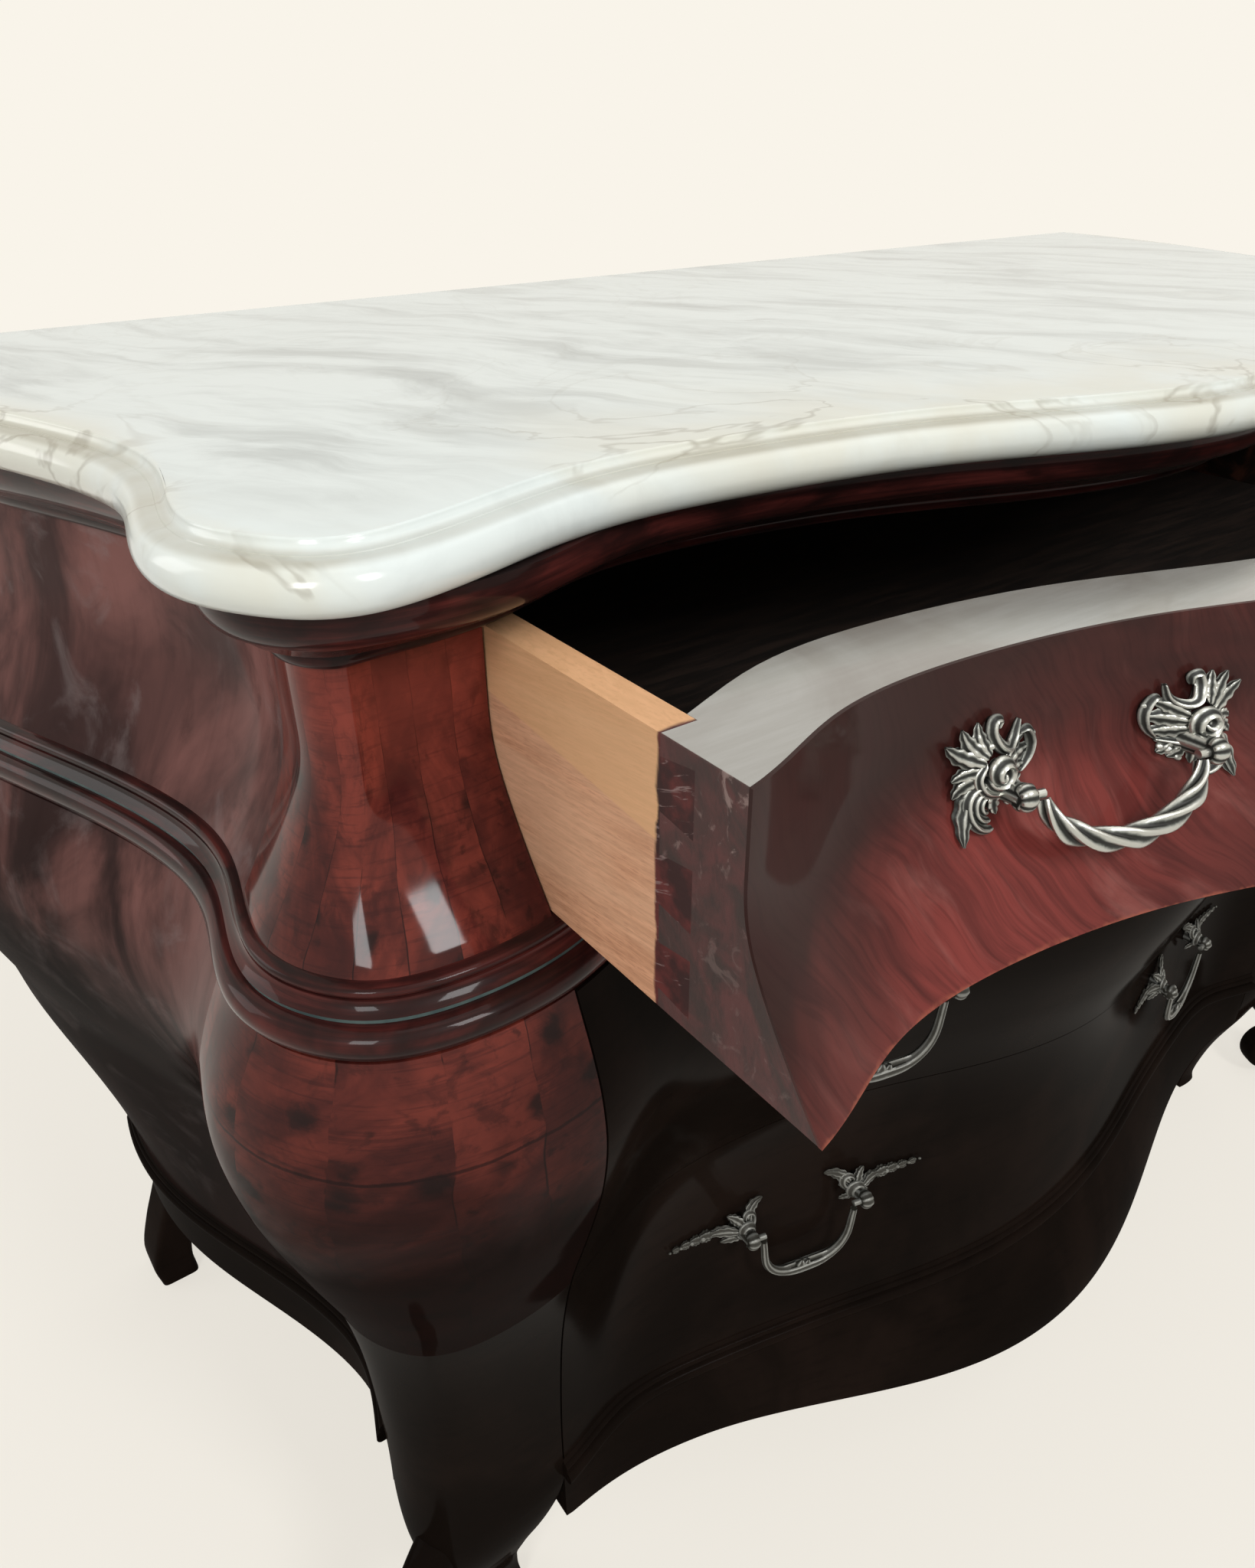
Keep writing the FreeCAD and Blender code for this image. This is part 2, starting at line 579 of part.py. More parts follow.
def foot_scroll():
    """Flat scroll standing outside the heel, running down out of the knee."""
    def edge(points):
        places = [FreeCAD.Vector(reach, -FOOT_T / 2, share * APRON_TOP) for reach, share in points]
        curve = Part.BSplineCurve()
        curve.interpolate(places)
        return curve.toShape(), places[0], places[-1]

    outer, top, tip = edge(KNEE_OUTER)
    inner, throat, root = edge(KNEE_INNER)
    shoulder = FreeCAD.Vector(root.x, root.y, top.z)
    edges = [outer, line(tip, throat), inner, line(root, shoulder), line(shoulder, top)]
    neck = Part.Face(closed(edges)).extrude(FreeCAD.Vector(0, FOOT_T, 0))
    eye = FreeCAD.Vector(SCROLL_REACH, -FOOT_T / 2, SCROLL_R)
    along = FreeCAD.Vector(0, 1, 0)
    foot = neck.fuse(Part.makeCylinder(SCROLL_R, FOOT_T, eye, along))
    foot = foot.cut(Part.makeCylinder(SCROLL_EYE_R, FOOT_T, eye, along))
    foot.rotate(FreeCAD.Vector(0, 0, 0), FreeCAD.Vector(0, 0, 1), 180.0 + LEG_TURN)
    _, move, scale = CABRIOLE[-1]
    corner = FreeCAD.Vector(-OPENING_HALF, POST_DEPTH, 0) + leg_heading() * move
    width = abs(STATIONS[POST_SIDE][0]) - OPENING_HALF
    foot.translate(corner + FreeCAD.Vector(-width * scale / 2, -width * scale / 2, 0))
    return foot


# Rear leg: share of its height, move outwards from its place at the top, and width.
REAR_LEG = [(1.0, 0.0, REAR_POST), (0.86, -7.0, 44.0), (0.75, -8.0, 41.0), (0.62, -4.0, 39.0),
            (0.49, 6.0, 37.0), (0.37, 17.0, 36.0), (0.25, 28.0, 35.0), (0.1, 38.0, 38.0),
            (0.0, 35.0, 36.0)]


def rear_leg(space):
    stile = space.common(box(-FAR, REAR_POST - REAR_CORNER_X, STILE_BACK - REAR_POST, STILE_BACK,
                             SIDE_BOTTOM, MARBLE_BOTTOM))
    y0, y1 = CARCASS_BACK - REAR_POST, CARCASS_BACK
    wires = []
    for share, move, width in REAR_LEG:
        z = share * SIDE_BOTTOM
        outer = REAR_CORNER_X + move
        inner = outer - width
        corners = [FreeCAD.Vector(-outer, y0, z), FreeCAD.Vector(-inner, y0, z),
                   FreeCAD.Vector(-inner, y1, z), FreeCAD.Vector(-outer, y1, z)]
        wires.append(Part.makePolygon(corners + corners[:1]))
    return stile.fuse(Part.makeLoft(wires, True, True)).removeSplitter()


# ---- drawers ----
FRONT_BACKS = {"upper": -COVE_DEPTH - UPPER_FRONT_T, "middle": -LOWER_FRONT_T,
               "lower": swell(LOWER_BOTTOM) - LOWER_FRONT_T}


def dovetails(low, high, joint, outer_x):
    """Tails on the front end of a left-hand drawer side."""
    count = max(2, round((high - low) / TAIL_PITCH))
    pitch = (high - low) / count
    half = pitch * TAIL_SHARE / 2
    tails = []
    for i in range(count):
        z = low + pitch * (i + 0.5)
        tip = half + TAIL_SPLAY
        points = [FreeCAD.Vector(outer_x, joint, z - half), FreeCAD.Vector(outer_x, joint, z + half),
                  FreeCAD.Vector(outer_x, joint - TAIL_LENGTH, z + tip),
                  FreeCAD.Vector(outer_x, joint - TAIL_LENGTH, z - tip)]
        tails.append(prism(points, FreeCAD.Vector(SIDE_T, 0, 0)))
    return tails


def backed(heights, offset, rear):
    """Solid from a moulded surface across the opening back to a plumb plane."""
    first, last = DRAWER_END - 1, LAST - DRAWER_END + 1
    wires = []
    for z in heights:
        out = offset(z)
        a, b = station_point(first, out, z), station_point(last, out, z)
        c, d = FreeCAD.Vector(b.x, rear, z), FreeCAD.Vector(a.x, rear, z)
        wires.append(closed([ring(z, out, first, last), line(b, c), line(c, d), line(d, a)]))
    return Part.makeLoft(wires, True, True)


def drawer_front(low, high, profile, inner):
    """Moulded outside, plumb inside, cut square at both ends."""
    half = OPENING_HALF - REVEAL
    step = COVE_STEP if profile is cove else SWELL_STEP
    front = backed(levels(low, high, step), profile, CARCASS_BACK)
    front = front.cut(backed([low - 1.0, high + 1.0], always(inner), CARCASS_BACK + 1.0))
    return front.common(box(-half, half, -FAR, FAR, low, high)).removeSplitter()


def drawer(name, low, high, side_low, side_high, profile, move):
    """Bowed front, two dovetailed sides, a back and a let-in bottom."""
    inner = FRONT_BACKS[name]
    half = OPENING_HALF - REVEAL
    front = drawer_front(low, high, profile, inner)
    plates, bails = pulls(front, low, profile, *PULLS[name])
    joint = STATIONS[DRAWER_END][1] - inner
    side = box(-half, SIDE_T - half, joint, DRAWER_REAR, side_low, side_high)
    for tail in dovetails(side_low, side_high, joint, -half):
        side = side.fuse(tail)
    side = side.removeSplitter()
    floor = side_low + BOTTOM_RISE
    reach = half - SIDE_T + BOTTOM_GROOVE
    bottom = box(-reach, reach, -FAR, DRAWER_REAR, floor, floor + BOTTOM_T)
    bottom = bottom.common(backed([floor, floor + BOTTOM_T], always(inner + BOTTOM_GROOVE), DRAWER_REAR))
    back = box(SIDE_T - half, half - SIDE_T, DRAWER_REAR - DRAWER_BACK_T, DRAWER_REAR,
               floor + BOTTOM_T, side_high - BACK_LOWERED)
    front = front.cut(side).cut(mirrored(side)).cut(bottom)
    side = side.cut(bottom)
    shift = FreeCAD.Vector(0, -move, 0)
    for label, solids in (("front", [front]), ("side_left", [side]), ("side_right", [mirrored(side)]),
                          ("back", [back]), ("bottom", [bottom]), ("pull_plates", plates),
                          ("bail_left", [bails[0]]), ("bail_right", [bails[1]])):
        for solid in solids:
            solid.translate(shift)
        keep(name + "_drawer_" + label, *solids)


# ---- pulls ----
PULLS = {"upper": (UPPER_PULL_X, UPPER_PULL_RISE, UPPER_SPACING, UPPER_DROP, UPPER_TILT, UPPER_PLATE),
         "middle": (LOWER_PULL_X, MIDDLE_PULL_RISE, LOWER_SPACING, LOWER_DROP, 0.0, LOWER_PLATE),
         "lower": (LOWER_PULL_X, LOWER_PULL_RISE, LOWER_SPACING, LOWER_DROP, 0.0, LOWER_PLATE)}
BACKWARD = FreeCAD.Vector(0, 1, 0)


def leaf_prism(x, z, width, height):
    """Space behind a backplate's outline: a leaf shape, waisted above and below."""
    points = []
    count = 16
    for i in range(count):
        turn = 2 * math.pi * (i + 0.5) / count
        swing = 1.0 + 0.12 * math.cos(4 * turn)
        points.append(FreeCAD.Vector(x + width / 2 * swing * math.cos(turn), -FAR,
                                     z + height / 2 * swing * math.sin(turn)))
    return prism(points, BACKWARD * 2.0 * FAR)


def pulls(front, low, profile, centre, rise, spacing, drop, tilt, size):
    """Plates with pierced heads for both pulls of a drawer, and the two bails."""
    skin = front.copy()
    skin.translate(BACKWARD * -PLATE_T)
    z = low + rise
    plates, bails = [], []
    for sign in (-1, 1):
        ends = []
        for end in (-1, 1):
            x = sign * centre + end * spacing / 2
            ends.append(FreeCAD.Vector(x, belly(x) - profile(z) - bow(x, z) - PIVOT_STANDOFF, z))
        axis = (ends[1] - ends[0]).normalize()
        for point, inward in ((ends[0], axis), (ends[1], axis * -1)):
            plate = skin.common(leaf_prism(point.x - size[2] * (1 if inward.x > 0 else -1), z,
                                           size[0], size[1])).cut(front)
            head = Part.makeCylinder(HEAD_R, HEAD_W, point - inward * (HEAD_W / 2), inward)
            head = head.fuse(Part.makeCylinder(HEAD_W / 2, PIVOT_STANDOFF + PLATE_T, point, BACKWARD))
            head = head.cut(Part.makeCylinder(PIN_R + PIN_CLEARANCE, HEAD_W, point - inward * BORE_PAST,
                                              inward)).cut(front)
            plates.append(plate.fuse(head))
        bails.append(bail(ends, axis, drop, tilt))
    return plates, bails


BAIL_CORNER = 0.62           # share of the drop that the round corners take
BAIL_SIDES = 8
CORNER_STEPS = 4


def bar(points, normal, radius):
    """Bar along a flat path, mitred at each of its points."""
    wires = []
    last = len(points) - 1
    for i, point in enumerate(points):
        before = (point - points[max(i - 1, 0)])
        after = (points[min(i + 1, last)] - point)
        if i == 0:
            before = after
        if i == last:
            after = before
        along = (before.normalize() + after.normalize()).normalize()
        across = along.cross(normal)
        stretch = radius / before.dot(along)
        corners = []
        for k in range(BAIL_SIDES):
            turn = 2 * math.pi * (k + 0.5) / BAIL_SIDES
            corners.append(point + across * (stretch * math.cos(turn)) + normal * (radius * math.sin(turn)))
        wires.append(Part.makePolygon(corners + corners[:1]))
    return Part.makeLoft(wires, True, True)


def bail(ends, axis, drop, tilt):
    """Bow-shaped bail: pins in the heads, arms curving to a level grip."""
    outward = FreeCAD.Vector(axis.y, -axis.x, 0)
    lean = math.radians(tilt)
    down = FreeCAD.Vector(0, 0, -math.cos(lean)) + outward * math.sin(lean)
    centre = (ends[0] + ends[1]) * 0.5
    arm = (ends[1] - ends[0]).Length / 2 - HEAD_W / 2 - 1.0 - BAIL_R
    grip = drop - BAIL_R
    corner = grip * BAIL_CORNER
    path = [(-arm, -BAIL_R)]
    for i in range(CORNER_STEPS + 1):
        turn = math.pi / 2 * i / CORNER_STEPS
        path.append((corner - arm - corner * math.cos(turn), grip - corner + corner * math.sin(turn)))
    path += [(-along, below) for along, below in reversed(path)]
    bow = bar([centre + axis * along + down * below for along, below in path], axis.cross(down), BAIL_R)
    for sign in (-1, 1):
        pin = Part.makeCylinder(PIN_R, PIN_LENGTH + BAIL_R, centre + axis * (sign * arm), axis * sign)
        bow = bow.fuse(pin)
    return bow


# ---- assembly ----
def build():
    marble_top()
    top_moulding()
    waist_moulding()
    base_moulding()
    posts_and_sides()
    space = inner_space()
    keep_pair("rear_leg", rear_leg(space))
    frames_and_panels(space)
    back_and_guides(space)
    aprons()
    keep_pair("front_leg", front_leg())
    drawer("upper", WAIST, UPPER_TOP - REVEAL, WAIST, UPPER_TOP - REVEAL, cove, UPPER_OPEN)
    drawer("middle", MIDDLE_BOTTOM + REVEAL / 2, BODY_TOP - REVEAL,
           MIDDLE_BOTTOM + MIDDLE_FRAME_T / 2 + REVEAL, BODY_TOP - REVEAL, swell, 0.0)
    drawer("lower", LOWER_BOTTOM, MIDDLE_BOTTOM - REVEAL / 2,
           LOWER_BOTTOM, MIDDLE_BOTTOM - MIDDLE_FRAME_T / 2 - REVEAL, swell, 0.0)


build()
front_most = belly(0.0) - UPPER_OPEN
shift_to_origin = FreeCAD.Vector(0, -(front_most + CARCASS_BACK) / 2, 0)
for name, shape in PIECES.items():
    placed = shape.copy()
    placed.translate(shift_to_origin)
    placed.exportStep("parts/" + name + ".step")
    print(name, "solids", len(placed.Solids), "valid", placed.isValid(), "cm3", round(placed.Volume / 1e3))
print("pieces", len(PIECES), "shift", shift_to_origin.y)
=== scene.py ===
import math
from collections import namedtuple

import bmesh
import bpy
import numpy as np
from bpy.props import FloatProperty, FloatVectorProperty, IntProperty
from mathutils import Matrix, Vector


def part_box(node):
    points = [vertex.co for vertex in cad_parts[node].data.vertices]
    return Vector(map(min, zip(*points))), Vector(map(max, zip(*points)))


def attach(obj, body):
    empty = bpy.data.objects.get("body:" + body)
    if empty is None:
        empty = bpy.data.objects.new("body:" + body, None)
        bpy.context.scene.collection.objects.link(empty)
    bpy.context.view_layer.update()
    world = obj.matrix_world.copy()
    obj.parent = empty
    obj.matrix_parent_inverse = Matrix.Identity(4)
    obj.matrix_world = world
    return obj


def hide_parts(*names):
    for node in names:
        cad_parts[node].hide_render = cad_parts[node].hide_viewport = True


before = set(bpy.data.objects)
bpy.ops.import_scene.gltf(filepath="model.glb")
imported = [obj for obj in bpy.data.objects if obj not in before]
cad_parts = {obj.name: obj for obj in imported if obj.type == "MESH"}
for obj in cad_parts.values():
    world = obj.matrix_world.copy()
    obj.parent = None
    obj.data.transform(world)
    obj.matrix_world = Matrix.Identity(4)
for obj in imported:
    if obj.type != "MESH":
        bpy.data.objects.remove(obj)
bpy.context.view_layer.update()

bl_info = {
    "name": "Bombe Chest Dresser",
    "version": (1, 0, 0),
    "blender": (4, 5, 0),
    "location": "View3D > Sidebar > Chest",
    "description": "Veneers, marble, mouldings, legs and cast pulls for a bombe chest",
    "category": "Add Mesh",
}

# All shapes are worked out in millimetres, with y = 0 at the neck of the corner posts.
MM = 0.001
UP = np.array([0.0, 0.0, 1.0])


def low(node, axis):
    """Lowest place of a node on an axis, in millimetres."""
    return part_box(node)[0][axis] / MM


def high(node, axis):
    """Highest place of a node on an axis, in millimetres."""
    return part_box(node)[1][axis] / MM


# ---- places taken from the joinery ----
WAIST = low("upper_drawer_front", 2)
UPPER_TOP = low("top_moulding_front", 2)
MARBLE_BOTTOM = low("marble_top", 2)
MARBLE_TOP = high("marble_top", 2)
BODY_TOP = low("waist_moulding_front", 2)
STAGE_BOTTOM = high("waist_moulding_front", 2)
MIDDLE_BOTTOM = low("lower_post_left", 2)
LOWER_BOTTOM = low("lower_drawer_front", 2)
APRON_TOP = low("base_moulding_front", 2)
SIDE_BOTTOM = low("lower_side_left", 2)
SIDE_APRON_TOP = high("apron_left", 2)
SIDE_APRON_BOTTOM = low("apron_left", 2)
DRAWER_HALF = high("upper_drawer_front", 0)
CARCASS_BACK = 507.0
SHIFT_Y = high("back_panel", 1) - CARCASS_BACK
UPPER_OPEN = high("middle_drawer_back", 1) - high("upper_drawer_back", 1)

# ---- plan outline of the waist line, as the joinery has it ----
OPENING_HALF = 441.5
POST_DEPTH = 55.0
SIDE_RUN = CARCASS_BACK - POST_DEPTH
HOLLOW_X, HOLLOW_Y, BELLY_DEPTH, BELLY_STEPS = OPENING_HALF - 136.5, -18.5, 69.5, 3


def belly(x):
    """Front of the waist line between its two hollows: one cosine wave."""
    return HOLLOW_Y - BELLY_DEPTH * 0.5 * (1.0 + np.cos(np.pi * x / HOLLOW_X))


# Stations on the left half: place, and the heading in degrees in which the skin moves.
LEFT_HALF = [(-OPENING_HALF - 202.5, CARCASS_BACK, 90.0),
             (-OPENING_HALF - 174.5, POST_DEPTH + 0.67 * SIDE_RUN, 90.0),
             (-OPENING_HALF - 129.5, POST_DEPTH + 0.4 * SIDE_RUN, 90.0),
             (-OPENING_HALF - 101.5, POST_DEPTH + 0.16 * SIDE_RUN, 90.0),
             (-OPENING_HALF - 109.5, POST_DEPTH, 90.0), (-OPENING_HALF - 115.0, 8.0, 84.0),
             (-OPENING_HALF - 100.0, -27.0, 56.0), (-OPENING_HALF - 65.5, -47.5, 18.0),
             (-OPENING_HALF, -46.0, 0.0), (61.5 - OPENING_HALF, -24.0, 0.0)]
STATIONS = np.array(LEFT_HALF
                    + [(HOLLOW_X * i / BELLY_STEPS, belly(HOLLOW_X * i / BELLY_STEPS), 0.0)
                       for i in range(-BELLY_STEPS, BELLY_STEPS + 1)]
                    + [(-x, y, -angle) for x, y, angle in reversed(LEFT_HALF)])
LAST = len(STATIONS) - 1
# Stations where a side panel meets its post, where mouldings are mitred and where drawers end.
POST_SIDE, MITRE, DRAWER_END = 4, 6, 8
HEADINGS = np.radians(STATIONS[:, 2])
OUTWARD = -np.stack([np.sin(HEADINGS), np.cos(HEADINGS)], axis=1)


def both_sides(shares):
    """Outward vectors whose lengths are given from station 0 on, the same on both sides."""
    lengths = np.zeros(LAST + 1)
    lengths[:len(shares)] = shares
    return OUTWARD * (lengths + lengths[::-1])[:, None]


# The sides cove less than the front, and draw in below, most at the back.
SIDE_COVE_SHARE = 0.72
DRAWN = OUTWARD * (1.0 - (1.0 - SIDE_COVE_SHARE) * np.sin(HEADINGS) ** 2)[:, None]
TUCK, TUCK_START, TUCK_END = 50.0, 305.0, 460.0
TUCKED = both_sides([1.0, 0.2, 0.1, 0.15])
# The stone stays further in just past each ear.
WAISTED = both_sides([0.0] * DRAWER_END + [16.0, 8.0])
# The flanks of the belly stand further out towards the apron.
BOW, FLANK_LEAST, FLANK_RISE = 28.0, 0.5, 6.0


def flank(x):
    """Share of the bow at x: none at a post, most at about half way to it."""
    share = np.clip(np.abs(x) / OPENING_HALF, 0.0, 1.0)
    return np.cos(np.pi * share / 2) ** 2 * (FLANK_LEAST + FLANK_RISE * share ** 2)


BOWED = OUTWARD * flank(STATIONS[:, 0])[:, None]


def station_slopes():
    """Matrix from the stations to the slopes of a cubic spline with smooth curvature:
    slope before + 4 slopes here + slope after = 3 times (next - previous), and at an end
    the slope of the cubic through the first four stations."""
    count = LAST + 1
    left, right = np.eye(count), np.zeros((count, count))
    inner = np.arange(1, LAST)
    left[inner, inner] = 4.0
    left[inner, inner - 1] = left[inner, inner + 1] = 1.0
    right[inner, inner + 1], right[inner, inner - 1] = 3.0, -3.0
    end = np.array([-11.0, 18.0, -9.0, 2.0]) / 6.0
    right[0, :4], right[-1, -4:] = end, -end[::-1]
    return np.linalg.solve(left, right)


SLOPES = station_slopes()


def hermite(t):
    """Shares of a span's first value, first slope, last value and last slope at t."""
    return 2 * t ** 3 - 3 * t ** 2 + 1, t ** 3 - 2 * t ** 2 + t, 3 * t ** 2 - 2 * t ** 3, t ** 3 - t ** 2


def weights(u):
    """Share of each station in the point at u, by the Hermite span that u is in."""
    k = np.clip(np.floor(u).astype(int), 0, LAST - 1)
    first, leaving, last, arriving = hermite((u - k)[..., None])
    unit_rows = np.eye(LAST + 1)
    return (first * unit_rows[k] + leaving * SLOPES[k] + last * unit_rows[k + 1]
            + arriving * SLOPES[k + 1])


def through(table, at):
    """Smooth curves through the rows (place, values...) of a table: Hermite spans whose
    slopes come from the two neighbours of each row."""
    places, values = table[:, 0], table[:, 1:]
    rows = np.arange(len(places))
    before, after = np.maximum(rows - 1, 0), np.minimum(rows + 1, rows[-1])
    slopes = (values[after] - values[before]) / (places[after] - places[before])[:, None]
    k = np.clip(np.searchsorted(places, at, side="right") - 1, 0, rows[-1] - 1)
    span = np.asarray(places[k + 1] - places[k])[..., None]
    first, leaving, last, arriving = hermite(np.asarray(at - places[k])[..., None] / span)
    return (first * values[k] + leaving * span * slopes[k] + last * values[k + 1]
            + arriving * span * slopes[k + 1])


def ease(t):
    """Smooth step from 0 to 1."""
    t = np.clip(t, 0.0, 1.0)
    return (3.0 - 2.0 * t) * t ** 2


def tuck(height):
    """How far the low parts of the sides draw in, a smooth step in depth."""
    return TUCK * ease((WAIST - height - TUCK_START) / (TUCK_END - TUCK_START))


def bow(height):
    """How far the flanks of the belly stand out in the lower drawer, a smooth step."""
    return BOW * ease((MIDDLE_BOTTOM - height) / (MIDDLE_BOTTOM - LOWER_BOTTOM))


def skin(u, height, offset):
    """Points of the moulded body: the outline at u, plus its heading times the offset
    (a smaller one where it moves in), minus the tuck and plus the bow of its height,
    each in its own share along the outline; the height is the third number."""
    u, height, offset = np.broadcast_arrays(*(np.asarray(v, float) for v in (u, height, offset)))
    share = weights(u)
    moved = np.where(offset[..., None] < 0.0, share @ DRAWN, share @ OUTWARD) * offset[..., None]
    moved += (share @ BOWED) * bow(height)[..., None] - (share @ TUCKED) * tuck(height)[..., None]
    return np.concatenate([share @ STATIONS[:, :2] + moved, height[..., None]], axis=-1)


def distance(line):
    """Distance along a line of points from its first one."""
    return np.concatenate([[0.0], np.cumsum(np.linalg.norm(np.diff(line, axis=0), axis=1))])


def run_length(u, samples=1201):
    """Distance in metres along the waist line from the middle of the front."""
    fine = np.linspace(0.0, LAST, samples)
    total = distance(skin(fine, WAIST, 0.0))
    return (np.interp(u, fine, total) - total[-1] / 2) * MM


FRONT_SAMPLES = 900
FRONT_U = np.linspace(DRAWER_END - 1, LAST - DRAWER_END + 1, FRONT_SAMPLES)
FRONT_PLAN = skin(FRONT_U, WAIST, 0.0)
FRONT_BOW = weights(FRONT_U) @ BOWED[:, 1]


def front_y(x, z):
    """Waist line's y at x, between the corner posts, with the bow at the height z."""
    return (np.interp(x, FRONT_PLAN[:, 0], FRONT_PLAN[:, 1])
            + np.interp(x, FRONT_PLAN[:, 0], FRONT_BOW) * bow(z))


# ---- vertical profiles: offset of the skin from the waist line ----
COVE_DEPTH, COVE_STRAIGHT, COVE_POWER, COVE_EASE, COVE_SAMPLES = 46.5, 53.0, 1.35, 14.0, 9
UPPER_WALL, SIDE_WALL = 16.0, 22.0
# Depth below the waist, and how far the skin stands out there.
SWELL = np.array([(0.0, 4.0), (34.0, 17.0), (65.0, 31.0), (89.0, 38.5), (118.0, 41.0), (157.0, 35.0),
                  (206.0, 20.0), (266.0, 0.0), (327.0, -13.0), (400.0, -20.0), (480.0, -22.0),
                  (600.0, -16.0)])


def cove(height):
    """Upper stage: plumb at the top, flaring out to the waist line as a power of the depth,
    and averaged over a few heights so that the flare has no sudden start."""
    height = np.asarray(height, float)
    bend = UPPER_TOP - WAIST - COVE_STRAIGHT
    reach = np.clip(height - WAIST, 0.0, COVE_EASE)
    near = height[..., None] + reach[..., None] * np.linspace(-1.0, 1.0, COVE_SAMPLES)
    share = np.clip((WAIST + bend - near) / bend, 0.0, 1.0)
    return -COVE_DEPTH * (1.0 - (share ** COVE_POWER).mean(axis=-1))


def swell(height):
    """Lower stage: out into the bulge below the waist, then in towards the feet."""
    return through(SWELL, np.maximum(WAIST - np.asarray(height, float), 0.0))[..., 0]


def lining(height):
    """Inner faces of the walls."""
    height = np.asarray(height, float)
    return np.where(height >= WAIST, cove(height) - UPPER_WALL, np.minimum(swell(height), 0.0) - SIDE_WALL)


def circle(turn):
    """Points of the unit circle at angles in radians."""
    return np.stack([np.cos(turn), np.sin(turn)], axis=-1)


def arc(height, out, radius, start, end, count):
    """Rows (height, offset) on an arc; 0 degrees is straight out and 90 is up."""
    return (height, out) + radius * circle(np.radians(np.linspace(start, end, count)))[:, ::-1]


# ---- meshes ----
def marked(points, along=None, up=None, relief=0.0):
    """A shell: a grid of points, and for each the three numbers that the finishes read,
    which are its run along the outline, its height and its relief."""
    marks = np.zeros(points.shape)
    marks[..., 0] = points[..., 0] * MM if along is None else along
    marks[..., 1] = points[..., 2] * MM if up is None else up
    marks[..., 2] = relief
    return points, marks


def mirrored(shell):
    """The same shell on the other side of the chest."""
    points, marks = shell
    return points * (-1.0, 1.0, 1.0), marks


# Sharpest edge in degrees that stays smooth, for the looks that differ from the usual one.
CREASES = {"white_marble": 38.0, "antique_silver": 60.0}
USUAL_CREASE = 35.0
MERGE_DISTANCE, FLAT_DISTANCE = 2e-6, 1e-7


def shell_mesh(name, shells, shift_y):
    """Mesh of shells whose rows are closed loops along a path: quads join neighbouring rows
    and a flat cap closes each end."""
    points, marks, faces, first = [], [], [], 0
    for grid, mark in shells:
        rows, columns = grid.shape[:2]
        index = first + np.arange(rows * columns).reshape(rows, columns)
        ahead = np.roll(index, -1, axis=1)
        quads = np.stack([index[:-1], index[1:], ahead[1:], ahead[:-1]], axis=-1)
        faces += quads.reshape(-1, 4).tolist()
        faces += [index[0].tolist(), index[-1, ::-1].tolist()]
        points.append(grid.reshape(-1, 3))
        marks.append(mark.reshape(-1, 3))
        first += rows * columns
    mesh = bpy.data.meshes.new(name)
    mesh.from_pydata(((np.concatenate(points) + (0.0, shift_y, 0.0)) * MM).tolist(), [], faces)
    layer = mesh.attributes.new("mark", "FLOAT_VECTOR", "POINT")
    layer.data.foreach_set("vector", np.concatenate(marks).astype(np.float32).ravel())
    work = bmesh.new()
    work.from_mesh(mesh)
    bmesh.ops.remove_doubles(work, verts=work.verts, dist=MERGE_DISTANCE)
    bmesh.ops.dissolve_degenerate(work, edges=work.edges, dist=FLAT_DISTANCE)
    bmesh.ops.recalc_face_normals(work, faces=work.faces)
    work.to_mesh(mesh)
    work.free()
    return mesh


def make_piece(name, shells, look, body="carcass", node=""):
    """One object from shells that rides on a body and replaces a node, which has the piece's
    own name unless it is given, or is None.  Pieces of the upper drawer are drawn closed
    and moved out with it."""
    moved = UPPER_OPEN if body.startswith("upper_") else 0.0
    mesh = shell_mesh(name, shells, SHIFT_Y - moved)
    mesh.polygons.foreach_set("use_smooth", np.ones(len(mesh.polygons), bool))
    mesh.set_sharp_from_angle(angle=math.radians(CREASES.get(look, USUAL_CREASE)))
    mesh.materials.append(finish(look))
    piece = bpy.data.objects.new(name, mesh)
    bpy.context.scene.collection.objects.link(piece)
    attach(piece, body)
    if node is not None:
        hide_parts(node or name)


def carcass_pair(name, shells, look):
    """A left-hand piece and its mirror image."""
    make_piece(name + "_left", shells, look)
    make_piece(name + "_right", [mirrored(shell) for shell in shells], look)


def span(first, last, per_station=14):
    """Even places along the outline from one station to another."""
    return np.linspace(first, last, int(round(abs(last - first) * per_station)) + 1)


def band(profile, u, up=None):
    """A closed profile of (height, offset) rows carried along the outline."""
    points = skin(u[:, None], profile[None, :, 0], profile[None, :, 1])
    return marked(points, run_length(u)[:, None], up)


def moulding(profile, inner, u):
    """A profile closed behind at an inner offset; its height mark climbs along it."""
    profile = np.concatenate([profile, [(profile[-1, 0], inner), (profile[0, 0], inner)]])
    return band(profile, u, distance(profile)[None] * MM)


def wall(heights, outer, inner, u):
    """Between an outer and an inner surface, each an offset for each height."""
    outside, inside = (np.stack([heights, offset], axis=1) for offset in (outer, inner))
    return band(np.concatenate([outside, inside[::-1]]), u)


def unit(vectors):
    """Vectors of length one."""
    return vectors / np.linalg.norm(vectors, axis=-1, keepdims=True)


def left_of(line):
    """Unit vectors square to a plane line, on its left."""
    along = unit(np.gradient(line, axis=0))
    return np.stack([-along[:, 1], along[:, 0]], axis=1)


def squared(value, power):
    """A sine or cosine to a power that keeps its sign; a low power makes a round square."""
    return np.sign(value) * np.abs(value) ** power


